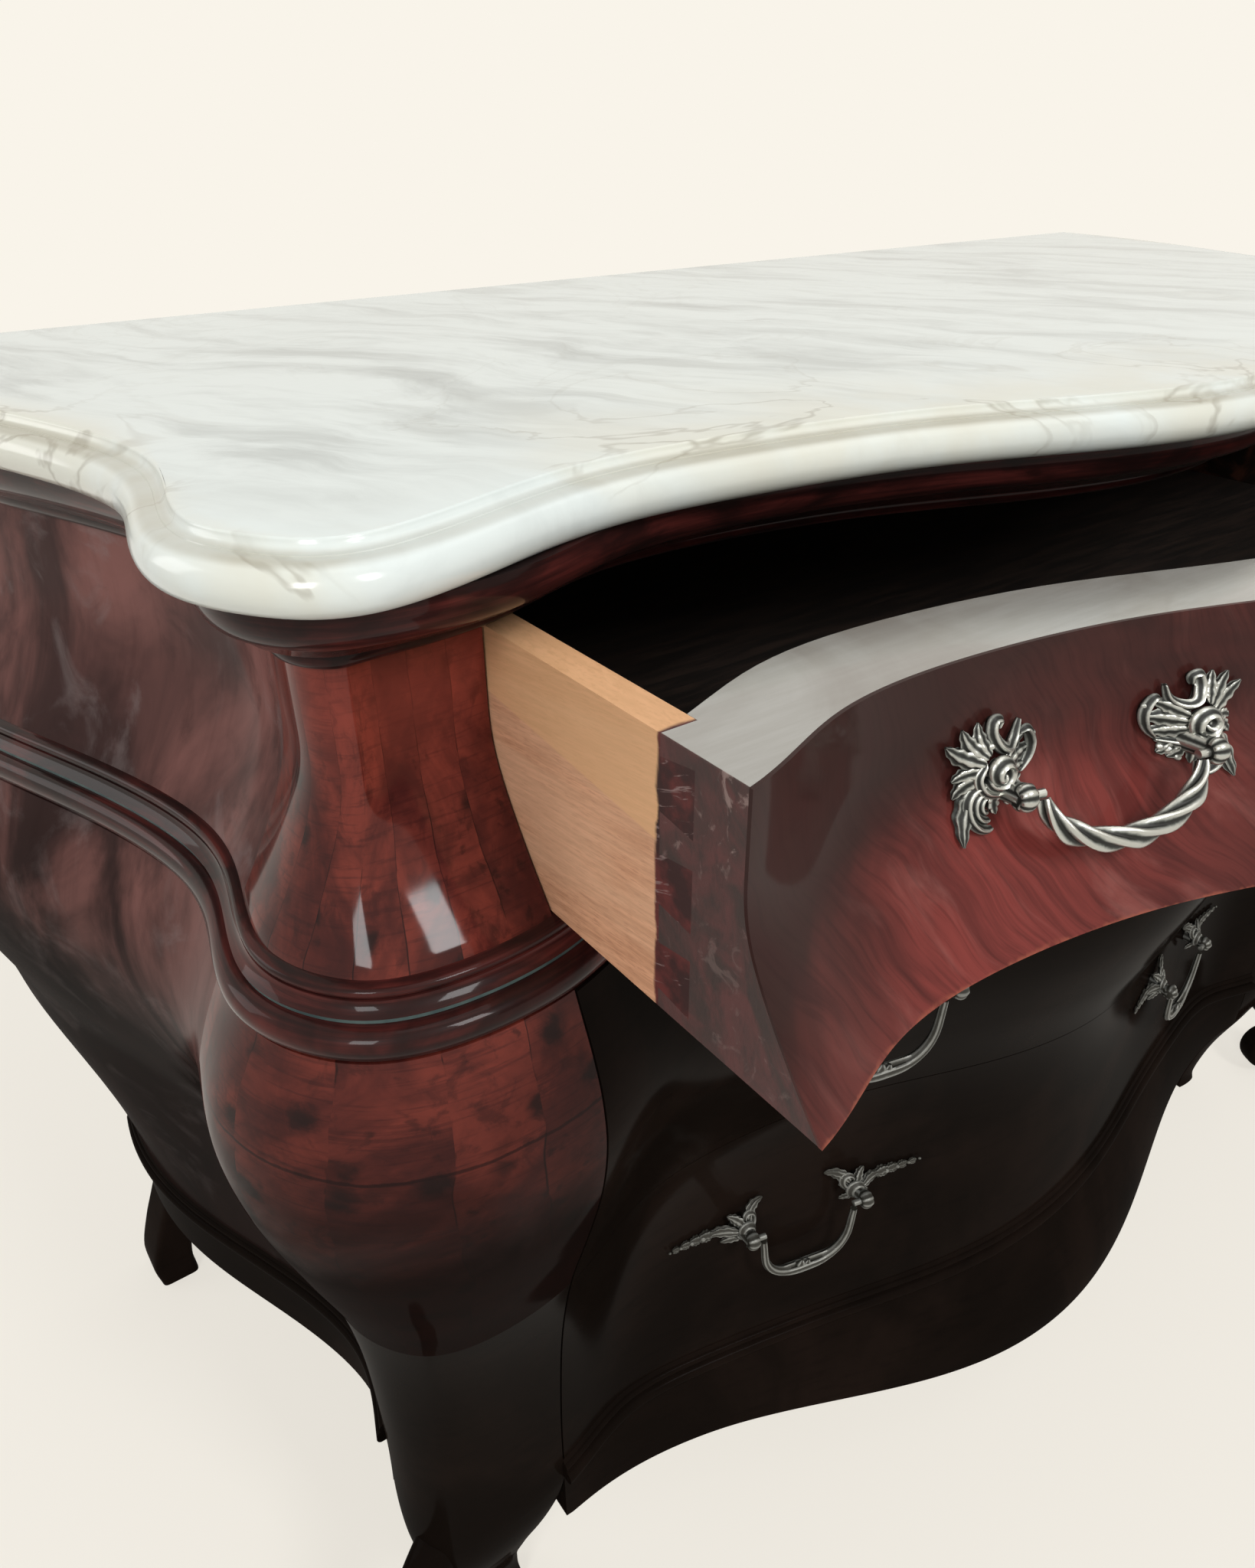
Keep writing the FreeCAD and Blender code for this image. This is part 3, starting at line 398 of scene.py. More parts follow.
def carved_bar(path, side, lift, width, height, ribs=0, depth=0.0, twist=0.0, around=20, power=1.0):
    """Bar along a path: at each point an oval, width across `side` and height across
    `lift`, whose radius swells with a cosine of `ribs` lobes, turned along the way.  Its
    relief follows the lobes, or on a plain bar the height of its surface."""
    width, height, depth, twist = (np.broadcast_to(value, (len(path),))[:, None]
                                   for value in (width, height, depth, twist))
    side, lift = (np.broadcast_to(way, path.shape)[:, None] for way in (side, lift))
    turn = np.linspace(0.0, 2.0 * np.pi, around, endpoint=False)[None]
    lobes = np.cos(ribs * (turn + twist))
    wave = 1.0 + depth * lobes
    across, upward = squared(np.cos(turn), power), squared(np.sin(turn), power)
    points = (path[:, None] + side * (width * wave * across)[..., None]
              + lift * (height * wave * upward)[..., None])
    return marked(points, relief=0.5 + 0.5 * lobes if ribs else 0.675 + 0.325 * upward)


# ---- shader maths ----
def maths_method(operation, reflected=False):
    """Method that adds a Math node on a socket and the other values."""
    def method(self, *others):
        values = (*others, self) if reflected else (self, *others)
        return self.shader.maths(operation, *values)
    return method


class Socket:
    """An output of a node; arithmetic on it adds Math nodes."""

    def __init__(self, shader, out):
        self.shader, self.out = shader, out

    __add__ = __radd__ = maths_method("ADD")
    __mul__ = __rmul__ = maths_method("MULTIPLY")
    __sub__, __rsub__ = maths_method("SUBTRACT"), maths_method("SUBTRACT", reflected=True)
    __truediv__, __pow__ = maths_method("DIVIDE"), maths_method("POWER")
    __gt__, __lt__ = maths_method("GREATER_THAN"), maths_method("LESS_THAN")
    abs, floor, fract = maths_method("ABSOLUTE"), maths_method("FLOOR"), maths_method("FRACT")


class Shader:
    """Node tree of a material or a world, with one method for each kind of node in use."""

    def __init__(self, owner, output="ShaderNodeOutputMaterial"):
        owner.use_nodes = True
        self.tree = owner.node_tree
        self.tree.nodes.clear()
        self.output = self.tree.nodes.new(output)

    def node(self, kind, settings=None, inputs=None, output=0):
        """A node of a kind, its settings first and then the values or links of its sockets."""
        made = self.tree.nodes.new(kind)
        for key, value in (settings or {}).items():
            setattr(made, key, value)
        for key, value in (inputs or {}).items():
            socket = made.inputs[key]
            if isinstance(value, Socket):
                self.tree.links.new(value.out, socket)
            elif socket.type == "RGBA":
                socket.default_value = (*value[:3], 1.0)
            else:
                socket.default_value = value
        return Socket(self, made.outputs[output])

    def outputs(self, socket, *keys):
        """Other outputs of the same node."""
        return [Socket(self, socket.out.node.outputs[key]) for key in keys]

    def maths(self, operation, *values):
        return self.node("ShaderNodeMath", {"operation": operation}, dict(enumerate(values)))

    def place(self):
        """Object coordinates in metres."""
        return self.node("ShaderNodeTexCoord", output="Object")

    def marks(self):
        """Run along the outline, height and relief."""
        return self.split(self.node("ShaderNodeAttribute", {"attribute_name": "mark"}, output="Vector"))

    def split(self, vector):
        return self.outputs(self.node("ShaderNodeSeparateXYZ", None, {0: vector}), 0, 1, 2)

    def join(self, x, y, z):
        return self.node("ShaderNodeCombineXYZ", None, {0: x, 1: y, 2: z})

    def stretch(self, vector, scale, turn=(0.0, 0.0, 0.0)):
        """The vector turned by Euler angles in degrees and then scaled on each axis."""
        turned = self.node("ShaderNodeVectorRotate", {"rotation_type": "EULER_XYZ"},
                           {"Vector": vector, "Rotation": tuple(math.radians(a) for a in turn)})
        return self.node("ShaderNodeVectorMath", {"operation": "MULTIPLY"}, {0: turned, 1: scale})

    def shifted(self, vector, by):
        return self.node("ShaderNodeVectorMath", {"operation": "ADD"}, {0: vector, 1: by})

    def noise(self, vector, scale, detail=4.0, rough=0.55, warp=0.0):
        """Noise at a vector or at three values, magnified by one scale or by one for each axis."""
        if isinstance(vector, tuple):
            vector = self.join(*vector)
        if isinstance(scale, tuple):
            vector, scale = self.stretch(vector, scale), 1.0
        return self.node("ShaderNodeTexNoise", None, {"Vector": vector, "Scale": scale, "Detail": detail,
                                                      "Roughness": rough, "Distortion": warp})

    def cells(self, vector, scale):
        return self.node("ShaderNodeTexVoronoi", None, {"Vector": vector, "Scale": scale})

    def random(self, value):
        return self.node("ShaderNodeTexWhiteNoise", {"noise_dimensions": "1D"}, {"W": value})

    def step(self, value, start, end, low_end=0.0, high_end=1.0):
        """Smooth step from one value to another."""
        return self.node("ShaderNodeMapRange", {"interpolation_type": "SMOOTHSTEP"},
                         {"Value": value, "From Min": start, "From Max": end, "To Min": low_end,
                          "To Max": high_end})

    def mix(self, share, first, second):
        return self.node("ShaderNodeMix", {"data_type": "RGBA"}, {0: share, 6: first, 7: second},
                         output=2)

    def lay(self, ground, *coats):
        """Coats over a ground; each is a share and a colour, or a share and screen values."""
        for share, *coat in coats:
            ground = self.mix(share, ground, tint(*coat) if len(coat) == 3 else coat[0])
        return ground

    def bump(self, height, strength, distance):
        return self.node("ShaderNodeBump", None, {"Height": height, "Strength": strength,
                                                  "Distance": distance})

    def close(self, shader):
        self.tree.links.new(shader.out, self.output.inputs["Surface"])

    def blend(self, share, first, second):
        """Mix of two shaders."""
        return self.node("ShaderNodeMixShader", None, {0: share, 1: first, 2: second})

    def surface(self, **sockets):
        """Closes a material; sockets are named with underscores."""
        inputs = {name.replace("_", " "): value for name, value in sockets.items()}
        self.close(self.node("ShaderNodeBsdfPrincipled", None, inputs))

    def lacquer(self, wood, rough, coat, coat_rough, grain, strength, specular=0.05, coat_ior=1.2):
        """Closes a material as lacquer over wood, with the grain telling through it."""
        self.surface(Base_Color=wood, Roughness=rough, Specular_IOR_Level=specular, Coat_Weight=coat,
                     Coat_Roughness=coat_rough, Coat_IOR=coat_ior, Normal=self.bump(grain, strength, 0.0006))

    def seen(self):
        """1 for a camera's ray, straight, mirrored or through glass, and 0 for other light."""
        rays = self.node("ShaderNodeLightPath")
        camera, glossy, clear = self.outputs(rays, "Is Camera Ray", "Is Glossy Ray", "Is Transmission Ray")
        return self.maths("MAXIMUM", camera, self.maths("MAXIMUM", glossy, clear))


def tint(red, green, blue):
    """Screen colour from 0 to 255 as linear light."""
    return tuple(c / 12.92 if c <= 0.04045 else ((c + 0.055) / 1.055) ** 2.4
                 for c in (red / 255, green / 255, blue / 255))


# ---- settings ----
def colour(name, description, value):
    return FloatVectorProperty(name=name, description=description, default=value, subtype="COLOR",
                               size=3, min=0.0, max=1.0)


def length(name, description, value):
    return FloatProperty(name=name, description=description, default=value * MM, min=0.0,
                         unit="LENGTH", subtype="DISTANCE")


class CHEST_PG_finish(bpy.types.PropertyGroup):
    """Colours of the chest's woods, stone and metal."""
    marble: colour("Marble", "Ground of the stone top", tint(222, 229, 225))
    marble_vein: colour("Marble veins", "Grey streaks in the stone", tint(150, 155, 152))
    marble_stain: colour("Marble stain", "Warm clouds near the edges", tint(214, 207, 184))
    mahogany: colour("Mahogany", "Mouldings", tint(86, 38, 34))
    burl: colour("Burl", "Light parts of the post veneer", tint(114, 49, 39))
    burl_dark: colour("Burl knots", "Dark knots and joints", tint(46, 18, 18))
    side: colour("Side veneer", "Clouded veneer of the sides", tint(130, 86, 80))
    front: colour("Drawer veneer", "Figured veneer of the top drawer", tint(124, 56, 51))
    # Dark polish: near-black partly as painted shade over the lower drawers, aprons and legs
    shade: colour("Dark polish", "Lower drawers, aprons and legs", tint(30, 22, 18))
    beech: colour("Beech", "Drawer sides", tint(221, 166, 130))
    # Frame wood: also painted shade on the top drawer's back and bottom
    board: colour("Frame wood", "Frames, panels and back", tint(40, 29, 23))
    silver: colour("Silver", "Cast pulls", tint(192, 193, 187))
    inlay: colour("Inlay", "Thin line in the waist moulding", tint(74, 92, 92))


class CHEST_PG_size(bpy.types.PropertyGroup):
    """Sizes that the dressing adds to the joinery."""
    overhang: length("Overhang", "How far the stone stands past the waist line", 14.0)
    nosing: length("Nosing", "Height of the stone's rounded edge", 21.0)
    bead: length("Bead", "Radius of the large bead at the waist", 8.5)
    veneer: length("Veneer", "How far a drawer's veneer stands proud", 0.4)
    around: IntProperty(name="Bar sides", description="Points round each bail", default=22, min=8)


class CHEST_PG_stage(bpy.types.PropertyGroup):
    """Floor, light and camera."""
    paper: colour("Backdrop", "Floor and background", tint(249, 244, 234))
    window: FloatProperty(name="Window", description="Power of each window light", default=37.0,
                          unit="POWER")
    fill: FloatProperty(name="Fill", description="Strength of the light all round", default=0.36)


def size(name):
    """A size of the settings in millimetres."""
    return getattr(bpy.context.scene.chest_size, name) / MM


# ---- finishes ----
# Each function closes the shader f with the colours c of the settings.
MADE = {}


def finish(look):
    """The material of a look, which is made once by the function of its name."""
    if look not in MADE:
        MADE[look] = bpy.data.materials.new(look)
        LOOKS[look](Shader(MADE[look]), bpy.context.scene.chest_finish)
    return MADE[look]


def white_marble(f, c):
    """White stone: soft grey streaks all one way on top, creamy clouds and thin veins by
    the edge, and a thin, patchy line of painted shade in the crease over the nosing."""
    place, edge = f.place(), f.marks()[2]
    warp = f.noise(place, 5.0, 3.0)
    bent = f.shifted(place, f.stretch(f.join(warp, warp, warp), (0.08, 0.08, 0.08)))
    turned = f.stretch(bent, (1.9, 8.0, 8.0), (0.0, 0.0, 64.0))
    cloud = f.noise(place, 5.0, 5.0, 0.55, 0.4)
    grey = (f.step(f.noise(turned, 2.4, 8.0, 0.6, 0.5), 0.44, 0.7) * 0.62
            + f.step(f.noise(turned, 8.0, 6.0, 0.6), 0.5, 0.75) * 0.2)
    warm = f.step(cloud + edge * 0.12, 0.5, 0.68)
    line = (f.noise(place, 6.5, 5.0, 0.5, 1.2) - 0.5).abs()
    vein = f.step(line, 0.0, 0.016, 1.0, 0.0) * f.step(cloud, 0.42, 0.54)
    crease = (f.split(place)[2] - (MARBLE_BOTTOM + size("nosing")) * MM).abs()
    # painted shade: a thin, patchy darker line in the crease over the nosing
    crease_shade = f.step(crease, 0.0002, 0.0024, 1.0, 0.0) * f.step(cloud, 0.3, 0.6, 0.35, 0.9)
    stone = f.lay(c.marble, (grey * (1.0 - edge * 0.75), c.marble_vein),
                  (warm * edge * 0.55, c.marble_stain), (vein * (edge * 0.34 + 0.08), 122, 112, 92),
                  (crease_shade * edge * 0.62, 140, 132, 108))
    f.surface(Base_Color=stone, Roughness=0.13 + f.noise(place, 90.0, 3.0) * 0.06,
              Normal=f.bump(f.noise(place, 60.0, 3.0), 0.04, 0.001))


def polished_mahogany(f, c):
    """Straight-grained, nearly black in places, with dark pores along the moulding."""
    run, up, _ = f.marks()
    grain = f.noise((run * 9.0, up * 230.0, up * 40.0), 1.0, 6.0, 0.6, 0.3)
    patch = f.noise((run * 14.0, up * 30.0, 0.0), 1.0, 4.0, 0.6, 0.8)
    wood = f.lay(tint(44, 20, 19), (f.step(grain, 0.35, 0.7), c.mahogany),
                 (f.step(patch, 0.38, 0.62, 0.85, 0.0), 24, 15, 14))
    f.lacquer(wood, 0.35, 0.9, 0.06, grain, 0.14)


def burl(f, c, run, up, width):
    """Post veneer laid in upright strips of a width, clouded, cross-rippled and full of
    knots and eyes: its colour, the swirl of its clouds and the relief of its grain."""
    strip = run / width + f.noise((run * 3.0, up * 14.0, 0.0), 1.0, 2.0) * 0.4 + 0.3
    number = strip.floor()
    chance = f.random(number)
    kept = f.noise((number * 3.1, up * 30.0, 0.0), 1.0, 3.0)
    joint = f.step((strip.fract() - 0.5).abs(), 0.478, 0.497) * f.step(kept, 0.45, 0.53)
    local = f.join(run + chance * 0.03, up + chance * 0.05, chance * 0.3)
    swirl = f.noise(local, 30.0, 6.0, 0.62, 1.6)
    broad = f.noise(f.shifted(local, (0.0, 0.0, 4.0)), 13.0, 5.0, 0.55, 1.0)
    blotch = f.noise(f.shifted(local, (3.0, 0.0, 7.0)), 60.0, 6.0, 0.65, 0.8)
    where = f.noise(f.shifted(local, (9.0, 2.0, 0.0)), 17.0, 4.0, 0.5, 0.6)
    bent = f.shifted(local, f.stretch(f.join(swirl, blotch, 0.0), (0.016, 0.02, 0.0)))
    knot = f.step(f.cells(bent, 44.0), 0.14, 0.36, 1.0, 0.0) * f.step(where, 0.4, 0.5)
    eye = f.step(f.cells(f.shifted(bent, (0.0, 5.0, 1.0)), 120.0), 0.08, 0.34, 1.0, 0.0)
    eye = eye * f.step(where, 0.5, 0.4)
    ripple = f.noise((run * 30.0, up * 460.0, chance * 9.0), 1.0, 4.0, 0.6)
    wood = f.lay(f.mix(0.5, c.burl, c.burl_dark), (f.step(swirl, 0.32, 0.68), c.burl),
                 (f.step(broad, 0.38, 0.6, 0.75, 0.0), c.burl_dark),
                 (f.step(blotch, 0.52, 0.66) * 0.55, 52, 22, 20),
                 (f.step(ripple, 0.5, 0.66) * 0.42, c.burl_dark),
                 (knot * 0.9, 28, 14, 14), (eye * 0.6, 34, 16, 15), (joint * 0.85, 20, 10, 10))
    return wood, swirl, ripple * 0.5 + blotch


def polish_burl(f, wood, coat, grain):
    """Closes a post's veneer with its thick, bright coat."""
    f.lacquer(wood, 0.34, coat, 0.075, grain, 0.06, specular=0.0, coat_ior=1.3)


def burl_upper(f, c):
    """Narrow strips, made lighter and redder towards the top by painted light."""
    run, up, _ = f.marks()
    wood, _, grain = burl(f, c, run, up, 0.0245)
    # painted light: the top of the neck is made lighter and redder, against the shadow under the stone
    polish_burl(f, f.lay(wood, (f.step(up, 0.75, 0.81) * 0.3, 150, 66, 52)), 0.9, grain)


def burl_lower(f, c):
    """Wider strips with a joint across them, and painted shade that darkens them to the foot."""
    run, up, _ = f.marks()
    wood, swirl, grain = burl(f, c, run, up, 0.036)
    drift = up + (f.noise((run * 14.0, up * 9.0, 0.0), 1.0, 5.0, 0.6, 0.8) - 0.5) * 0.1
    # painted shade: darker towards the foot, where less light reaches; the coat thins there too
    painted_shade = f.step(drift, 0.52, 0.672, 0.98, 0.0)
    level = (up - 0.607 + (swirl - 0.5) * 0.004).abs()
    wood = f.lay(wood, (painted_shade, 22, 16, 14), (f.step(level, 0.0005, 0.0012, 0.7, 0.0), 22, 10, 10))
    polish_burl(f, wood, 0.8 - painted_shade * 0.78, grain)


def clouded_veneer(f, c):
    """Sides: large soft blotches under a worn polish, pale patches of painted sheen, and
    painted shade that darkens them towards the feet."""
    run, up, _ = f.marks()
    local = f.join(run, up, 0.0)
    cloud = f.noise(f.stretch(local, (1.0, 0.55, 1.0)), 9.0, 6.0, 0.55, 1.1)
    blot = f.noise(local, 21.0, 5.0, 0.6, 0.9)
    # painted sheen: pale hazy patches stand in for the grazing reflection on the sides
    painted_sheen = f.noise(f.shifted(local, (5.0, 1.0, 0.0)), 14.0, 6.0, 0.6, 1.3)
    grain = f.noise((run * 120.0, up * 14.0, 0.0), 1.0, 5.0, 0.6)
    # painted shade: darker towards the feet, where less light reaches
    painted_shade = f.step(up + (cloud - 0.5) * 0.16, 0.5, 0.74, 0.97, 0.0)
    wood = f.lay(tint(62, 40, 38), (f.step(cloud, 0.36, 0.66), c.side),
                 (f.step(blot, 0.52, 0.74) * 0.5, 46, 27, 26), (f.step(grain, 0.45, 0.75) * 0.2, c.burl_dark),
                 (painted_shade, 24, 19, 17), (f.step(painted_sheen, 0.5, 0.7) * (0.3 - painted_shade * 0.24), 140, 128, 126))
    f.lacquer(wood, 0.42, 0.6 - painted_shade * 0.55, 0.14, grain, 0.05, specular=0.0)


def crotch_veneer(f, c):
    """Top drawer: plumes running down across the front, dark at the ends and brighter where
    the plumes open, with a chipped line along the lower edge."""
    x, _, z = f.split(f.place())
    side = x.abs()
    bend = f.noise((side * 4.0, z * 6.0, 0.0), 1.0, 3.0)
    flow = f.join(side * 0.6 + z * 0.95 + bend * 0.05, z * 0.6 - side * 0.95 + bend * 0.1, 0.0)
    plume = f.noise(flow, (7.0, 68.0, 1.0), 6.0, 0.6, 0.5)
    fine = f.noise(flow, (24.0, 330.0, 1.0))
    bloom = f.noise(flow, (14.0, 40.0, 1.0), 5.0, 0.55, 0.6)
    broad = f.noise((x * 5.0, z * 7.0, 2.0), 1.0, 5.0, 0.55, 0.8)
    open_part = (f.step(side + (broad - 0.5) * 0.3 + z * 1.1 - 0.8, 0.27, 0.42, 1.0, 0.0)
                 * f.step(side + (z - 0.75) * 1.2, 0.03, 0.26, 0.25, 1.0)
                 * f.step(z + (broad - 0.5) * 0.08, 0.728, 0.79, 1.0, 0.22))
    worn = f.noise((x * 30.0, z * 20.0, 0.0), 1.0, 5.0, 0.65)
    rim = z - WAIST * MM + (worn - 0.5) * 0.014
    chip = f.step(rim, -0.0008, 0.0012, 1.0, 0.0) * f.step(worn, 0.36, 0.5)
    wood = f.lay(tint(50, 29, 26), (open_part, c.front), (f.step(plume, 0.42, 0.68) * 0.5, 50, 24, 23),
                 (f.step(broad, 0.52, 0.7) * 0.55, 40, 25, 23), (f.step(fine, 0.46, 0.66) * 0.28, 36, 17, 16),
                 (f.step(bloom, 0.5, 0.74) * open_part * 0.35, 168, 112, 104), (chip * 0.8, 158, 88, 68))
    f.lacquer(wood, 0.38, 0.5, 0.09, fine, 0.05)


def dark_polish_and_shade(f, c):
    """Nearly black polish with a little red in it, duller low down; its near-black colour is partly the
    wood's and partly painted shade over the lower body.
    """
    place = f.place()
    cloud = f.noise(place, 7.0, 5.0, 0.55, 0.6)
    grain = f.noise(place, (26.0, 26.0, 210.0), 5.0, 0.6)
    # painted shade: the near-black ground stands partly for the shade over the lower body
    wood = f.lay(tint(20, 15, 12), (f.step(cloud, 0.4, 0.7), c.shade),
                 (f.step(grain, 0.5, 0.75) * 0.3, 10, 8, 7))
    coat = f.step(f.split(place)[2], 0.2, 0.5, 0.06, 0.16)
    f.lacquer(wood, 0.45, coat, 0.12, grain, 0.05, specular=0.0)


def drawer_front_core(f, c):
    """Core of a drawer front: polished top edge painted pale grey as a reflection, rough dark-red ends, plain
    inside.
    """
    place = f.place()
    x, _, z = f.split(place)
    grain = f.noise(place, (18.0, 160.0, 160.0), 6.0, 0.6)
    end = f.noise(place, (1.0, 240.0, 90.0), 5.0, 0.65)
    scar = f.noise(f.stretch(place, (1.0, 34.0, 22.0), (35.0, 0.0, 0.0)), 1.0, 6.0, 0.6, 1.0)
    is_end = x.abs() > (DRAWER_HALF - 0.4) * MM
    is_top = z > (UPPER_TOP - 1.8) * MM
    worn = f.step(f.noise(place, 55.0, 6.0, 0.65, 1.2), 0.56, 0.66) * f.step(z, 0.76, 0.8, 0.25, 0.8)
    dull = f.step(f.noise(place, 9.0, 5.0, 0.55, 0.8), 0.42, 0.66)
    inside = f.lay(tint(40, 18, 15), (f.step(grain, 0.35, 0.7), 66, 30, 24))
    ends = f.lay(tint(50, 36, 33), (f.step(scar, 0.4, 0.66), 82, 46, 44),
                 (f.step(end, 0.5, 0.7) * 0.5, 38, 28, 27), (worn, 140, 118, 112))
    # painted reflection: the top edge's pale grey stands in for the backdrop mirrored at a grazing angle
    top = f.lay(tint(147, 144, 137), (f.step(grain, 0.25, 0.8), 158, 156, 150), (dull * 0.45, 104, 92, 82))
    f.surface(Base_Color=f.lay(inside, (is_top, top), (is_end, ends)),
              Roughness=0.42 + is_end * 0.22 - is_top * 0.2, Coat_Weight=is_top * (1.0 - is_end),
              Coat_Roughness=0.06, Normal=f.bump(end * is_end + grain * 0.2, 0.4, 0.0008))


def beech_figure(f, place):
    """Grain, flecks and broad bands of a beech board, all leaning a little."""
    tilt = f.stretch(place, (1.0, 1.0, 1.0), (7.0, 0.0, 0.0))
    return (f.noise(tilt, (300.0, 26.0, 420.0), 5.0, 0.6, 0.2),
            f.noise(tilt, (500.0, 120.0, 1500.0), 3.0, 0.6), f.noise(tilt, (40.0, 3.0, 26.0), 4.0, 0.55, 0.6))


def bare_wood(f, wood, grain, rough=0.5, swing=0.1, specular=0.35, strength=0.12, distance=0.0005):
    """Closes an unpolished wood, rougher where its grain is light."""
    f.surface(Base_Color=wood, Roughness=rough + grain * swing, Specular_IOR_Level=specular,
              Normal=f.bump(grain, strength, distance))


def beech(f, c):
    """Plain-sawn beech: fine flecks along the board and a golden upper strip."""
    place = f.place()
    _, y, z = f.split(place)
    grain, fleck, broad = beech_figure(f, place)
    top = f.step(z + y * 0.05, (UPPER_TOP - 47.0) * MM, (UPPER_TOP - 45.0) * MM)
    wood = f.lay(tint(188, 134, 96), (f.step(grain, 0.35, 0.68), c.beech),
                 (f.step(fleck, 0.55, 0.72) * 0.4, 150, 98, 66),
                 (f.step(broad, 0.42, 0.66) * 0.45, 214, 168, 124), (top * 0.5, 232, 186, 138))
    bare_wood(f, wood, grain)


def beech_stained_end(f, c):
    """Side of the top drawer: beech outside, painted shade inside the box, with a golden strip above
    and its front end stained and scratched where the front's polish ran over it."""
    place = f.place()
    x, y, z = f.split(place)
    grain, fleck, broad = beech_figure(f, place)
    smear = f.noise(place, 26.0, 5.0, 0.6, 0.8)
    top = f.step(z - y * 0.12 - (UPPER_TOP - 31.0) * MM - 0.012, 0.0, 0.0015)
    # painted shade: the inner face of the side is made dark, as the shade inside the drawer
    inside = x.abs() < (DRAWER_HALF - 16.9) * MM
    joint = (SHIFT_Y - UPPER_OPEN + JOINT_Y) * MM
    stained = f.step(y + (smear - 0.5) * 0.01, joint + 0.001, joint + 0.003, 1.0, 0.0)
    scratch = f.noise(f.stretch(place, (1.0, 60.0, 420.0), (24.0, 0.0, 0.0)), 1.0, 4.0, 0.6, 0.5)
    red = f.lay(tint(44, 20, 20), (f.step(f.noise(place, 60.0, 5.0), 0.4, 0.65), 92, 40, 38),
                (f.step(scratch, 0.6, 0.68) * 0.6, 150, 128, 124))
    shadow = f.step(y, joint + 0.160, joint + 0.176) * 0.5 * f.step(smear, 0.42, 0.6)
    wood = f.lay(tint(194, 142, 108), (f.step(grain, 0.35, 0.68), c.beech),
                 (f.step(fleck, 0.5, 0.68) * 0.5, 158, 104, 76),
                 (f.step(broad, 0.42, 0.66) * 0.45, 222, 180, 146), (top * 0.6, 224, 176, 126),
                 (inside, 30, 21, 16), (stained, red), (shadow, 120, 70, 52))
    bare_wood(f, wood, grain)


def frame_wood(f, c):
    """Plain dark softwood inside the carcass; on the top drawer's back and bottom it is painted shade, for
    the shade inside the open drawer.
    """
    grain = f.noise(f.place(), (14.0, 150.0, 150.0), 6.0, 0.6, 0.3)
    # on the top drawer's back and bottom this dark colour is painted shade
    wood = f.lay(tint(20, 15, 12), (f.step(grain, 0.35, 0.7), c.board))
    bare_wood(f, wood, grain, 0.6, 0.15, 0.3, 0.2, 0.0006)


def antique_silver(f, c):
    """Cast metal, bright on its ridges and black in its hollows, and darkened below
    the waist by painted shade."""
    place, relief = f.place(), f.marks()[2]
    grime = f.noise(place, 260.0, 4.0, 0.6)
    height = relief + (grime - 0.5) * 0.4 + (f.noise(place, 70.0, 4.0, 0.6) - 0.5) * 0.5
    wear = f.step(height, 0.28, 0.8)
    # painted shade: pulls below the waist are darker and duller, as less light reaches them
    shade_below_waist = f.step(f.split(place)[2], (WAIST - 30.0) * MM, WAIST * MM, 1.0, 0.0)
    bright = wear * (1.0 - shade_below_waist * 0.75)
    metal = f.lay(tint(18, 19, 16), (f.step(height, 0.1, 0.56), 104, 107, 100), (wear, c.silver),
                  (shade_below_waist * (0.92 - wear * 0.3), 46, 44, 38))
    f.surface(Base_Color=metal, Metallic=0.3 + bright * 0.65, Roughness=0.5 - bright * 0.22,
              Normal=f.bump(grime, 0.25, 0.0004))


def inlay_line(f, c):
    """Thin line of tarnished metal."""
    wear = f.noise(f.place(), 60.0, 4.0)
    metal = f.mix(f.step(wear, 0.35, 0.7), c.inlay, tint(98, 116, 112))
    f.surface(Base_Color=metal, Roughness=0.35 + wear * 0.2, Metallic=0.3)


LOOKS = {made.__name__: made for made in (
    white_marble, polished_mahogany, burl_upper, burl_lower, clouded_veneer, crotch_veneer, dark_polish_and_shade,
    drawer_front_core, beech, beech_stained_end, frame_wood, antique_silver, inlay_line)}


# ---- stone top ----
LEDGE, HOLLOW_W, HOLLOW_TURN, HOLLOW_STEP, HOLLOW_STOP, LIP_R, LIP_BACK = 4.0, 5.0, 72.0, 0.4, 1.0, 1.6, 2.2
NOSE_END = 84.0
UNDERSIDE_SHARES, TOP_SHARES = (1.0, 0.5, 0.15), (0.04, 0.1, 0.2, 0.35, 0.6, 1.0)
TOP_EDGE_MARKS = (0.85, 0.55, 0.2, 0.0, 0.0, 0.0)
JOINT_Y = STATIONS[DRAWER_END][1] + COVE_DEPTH + 50.0


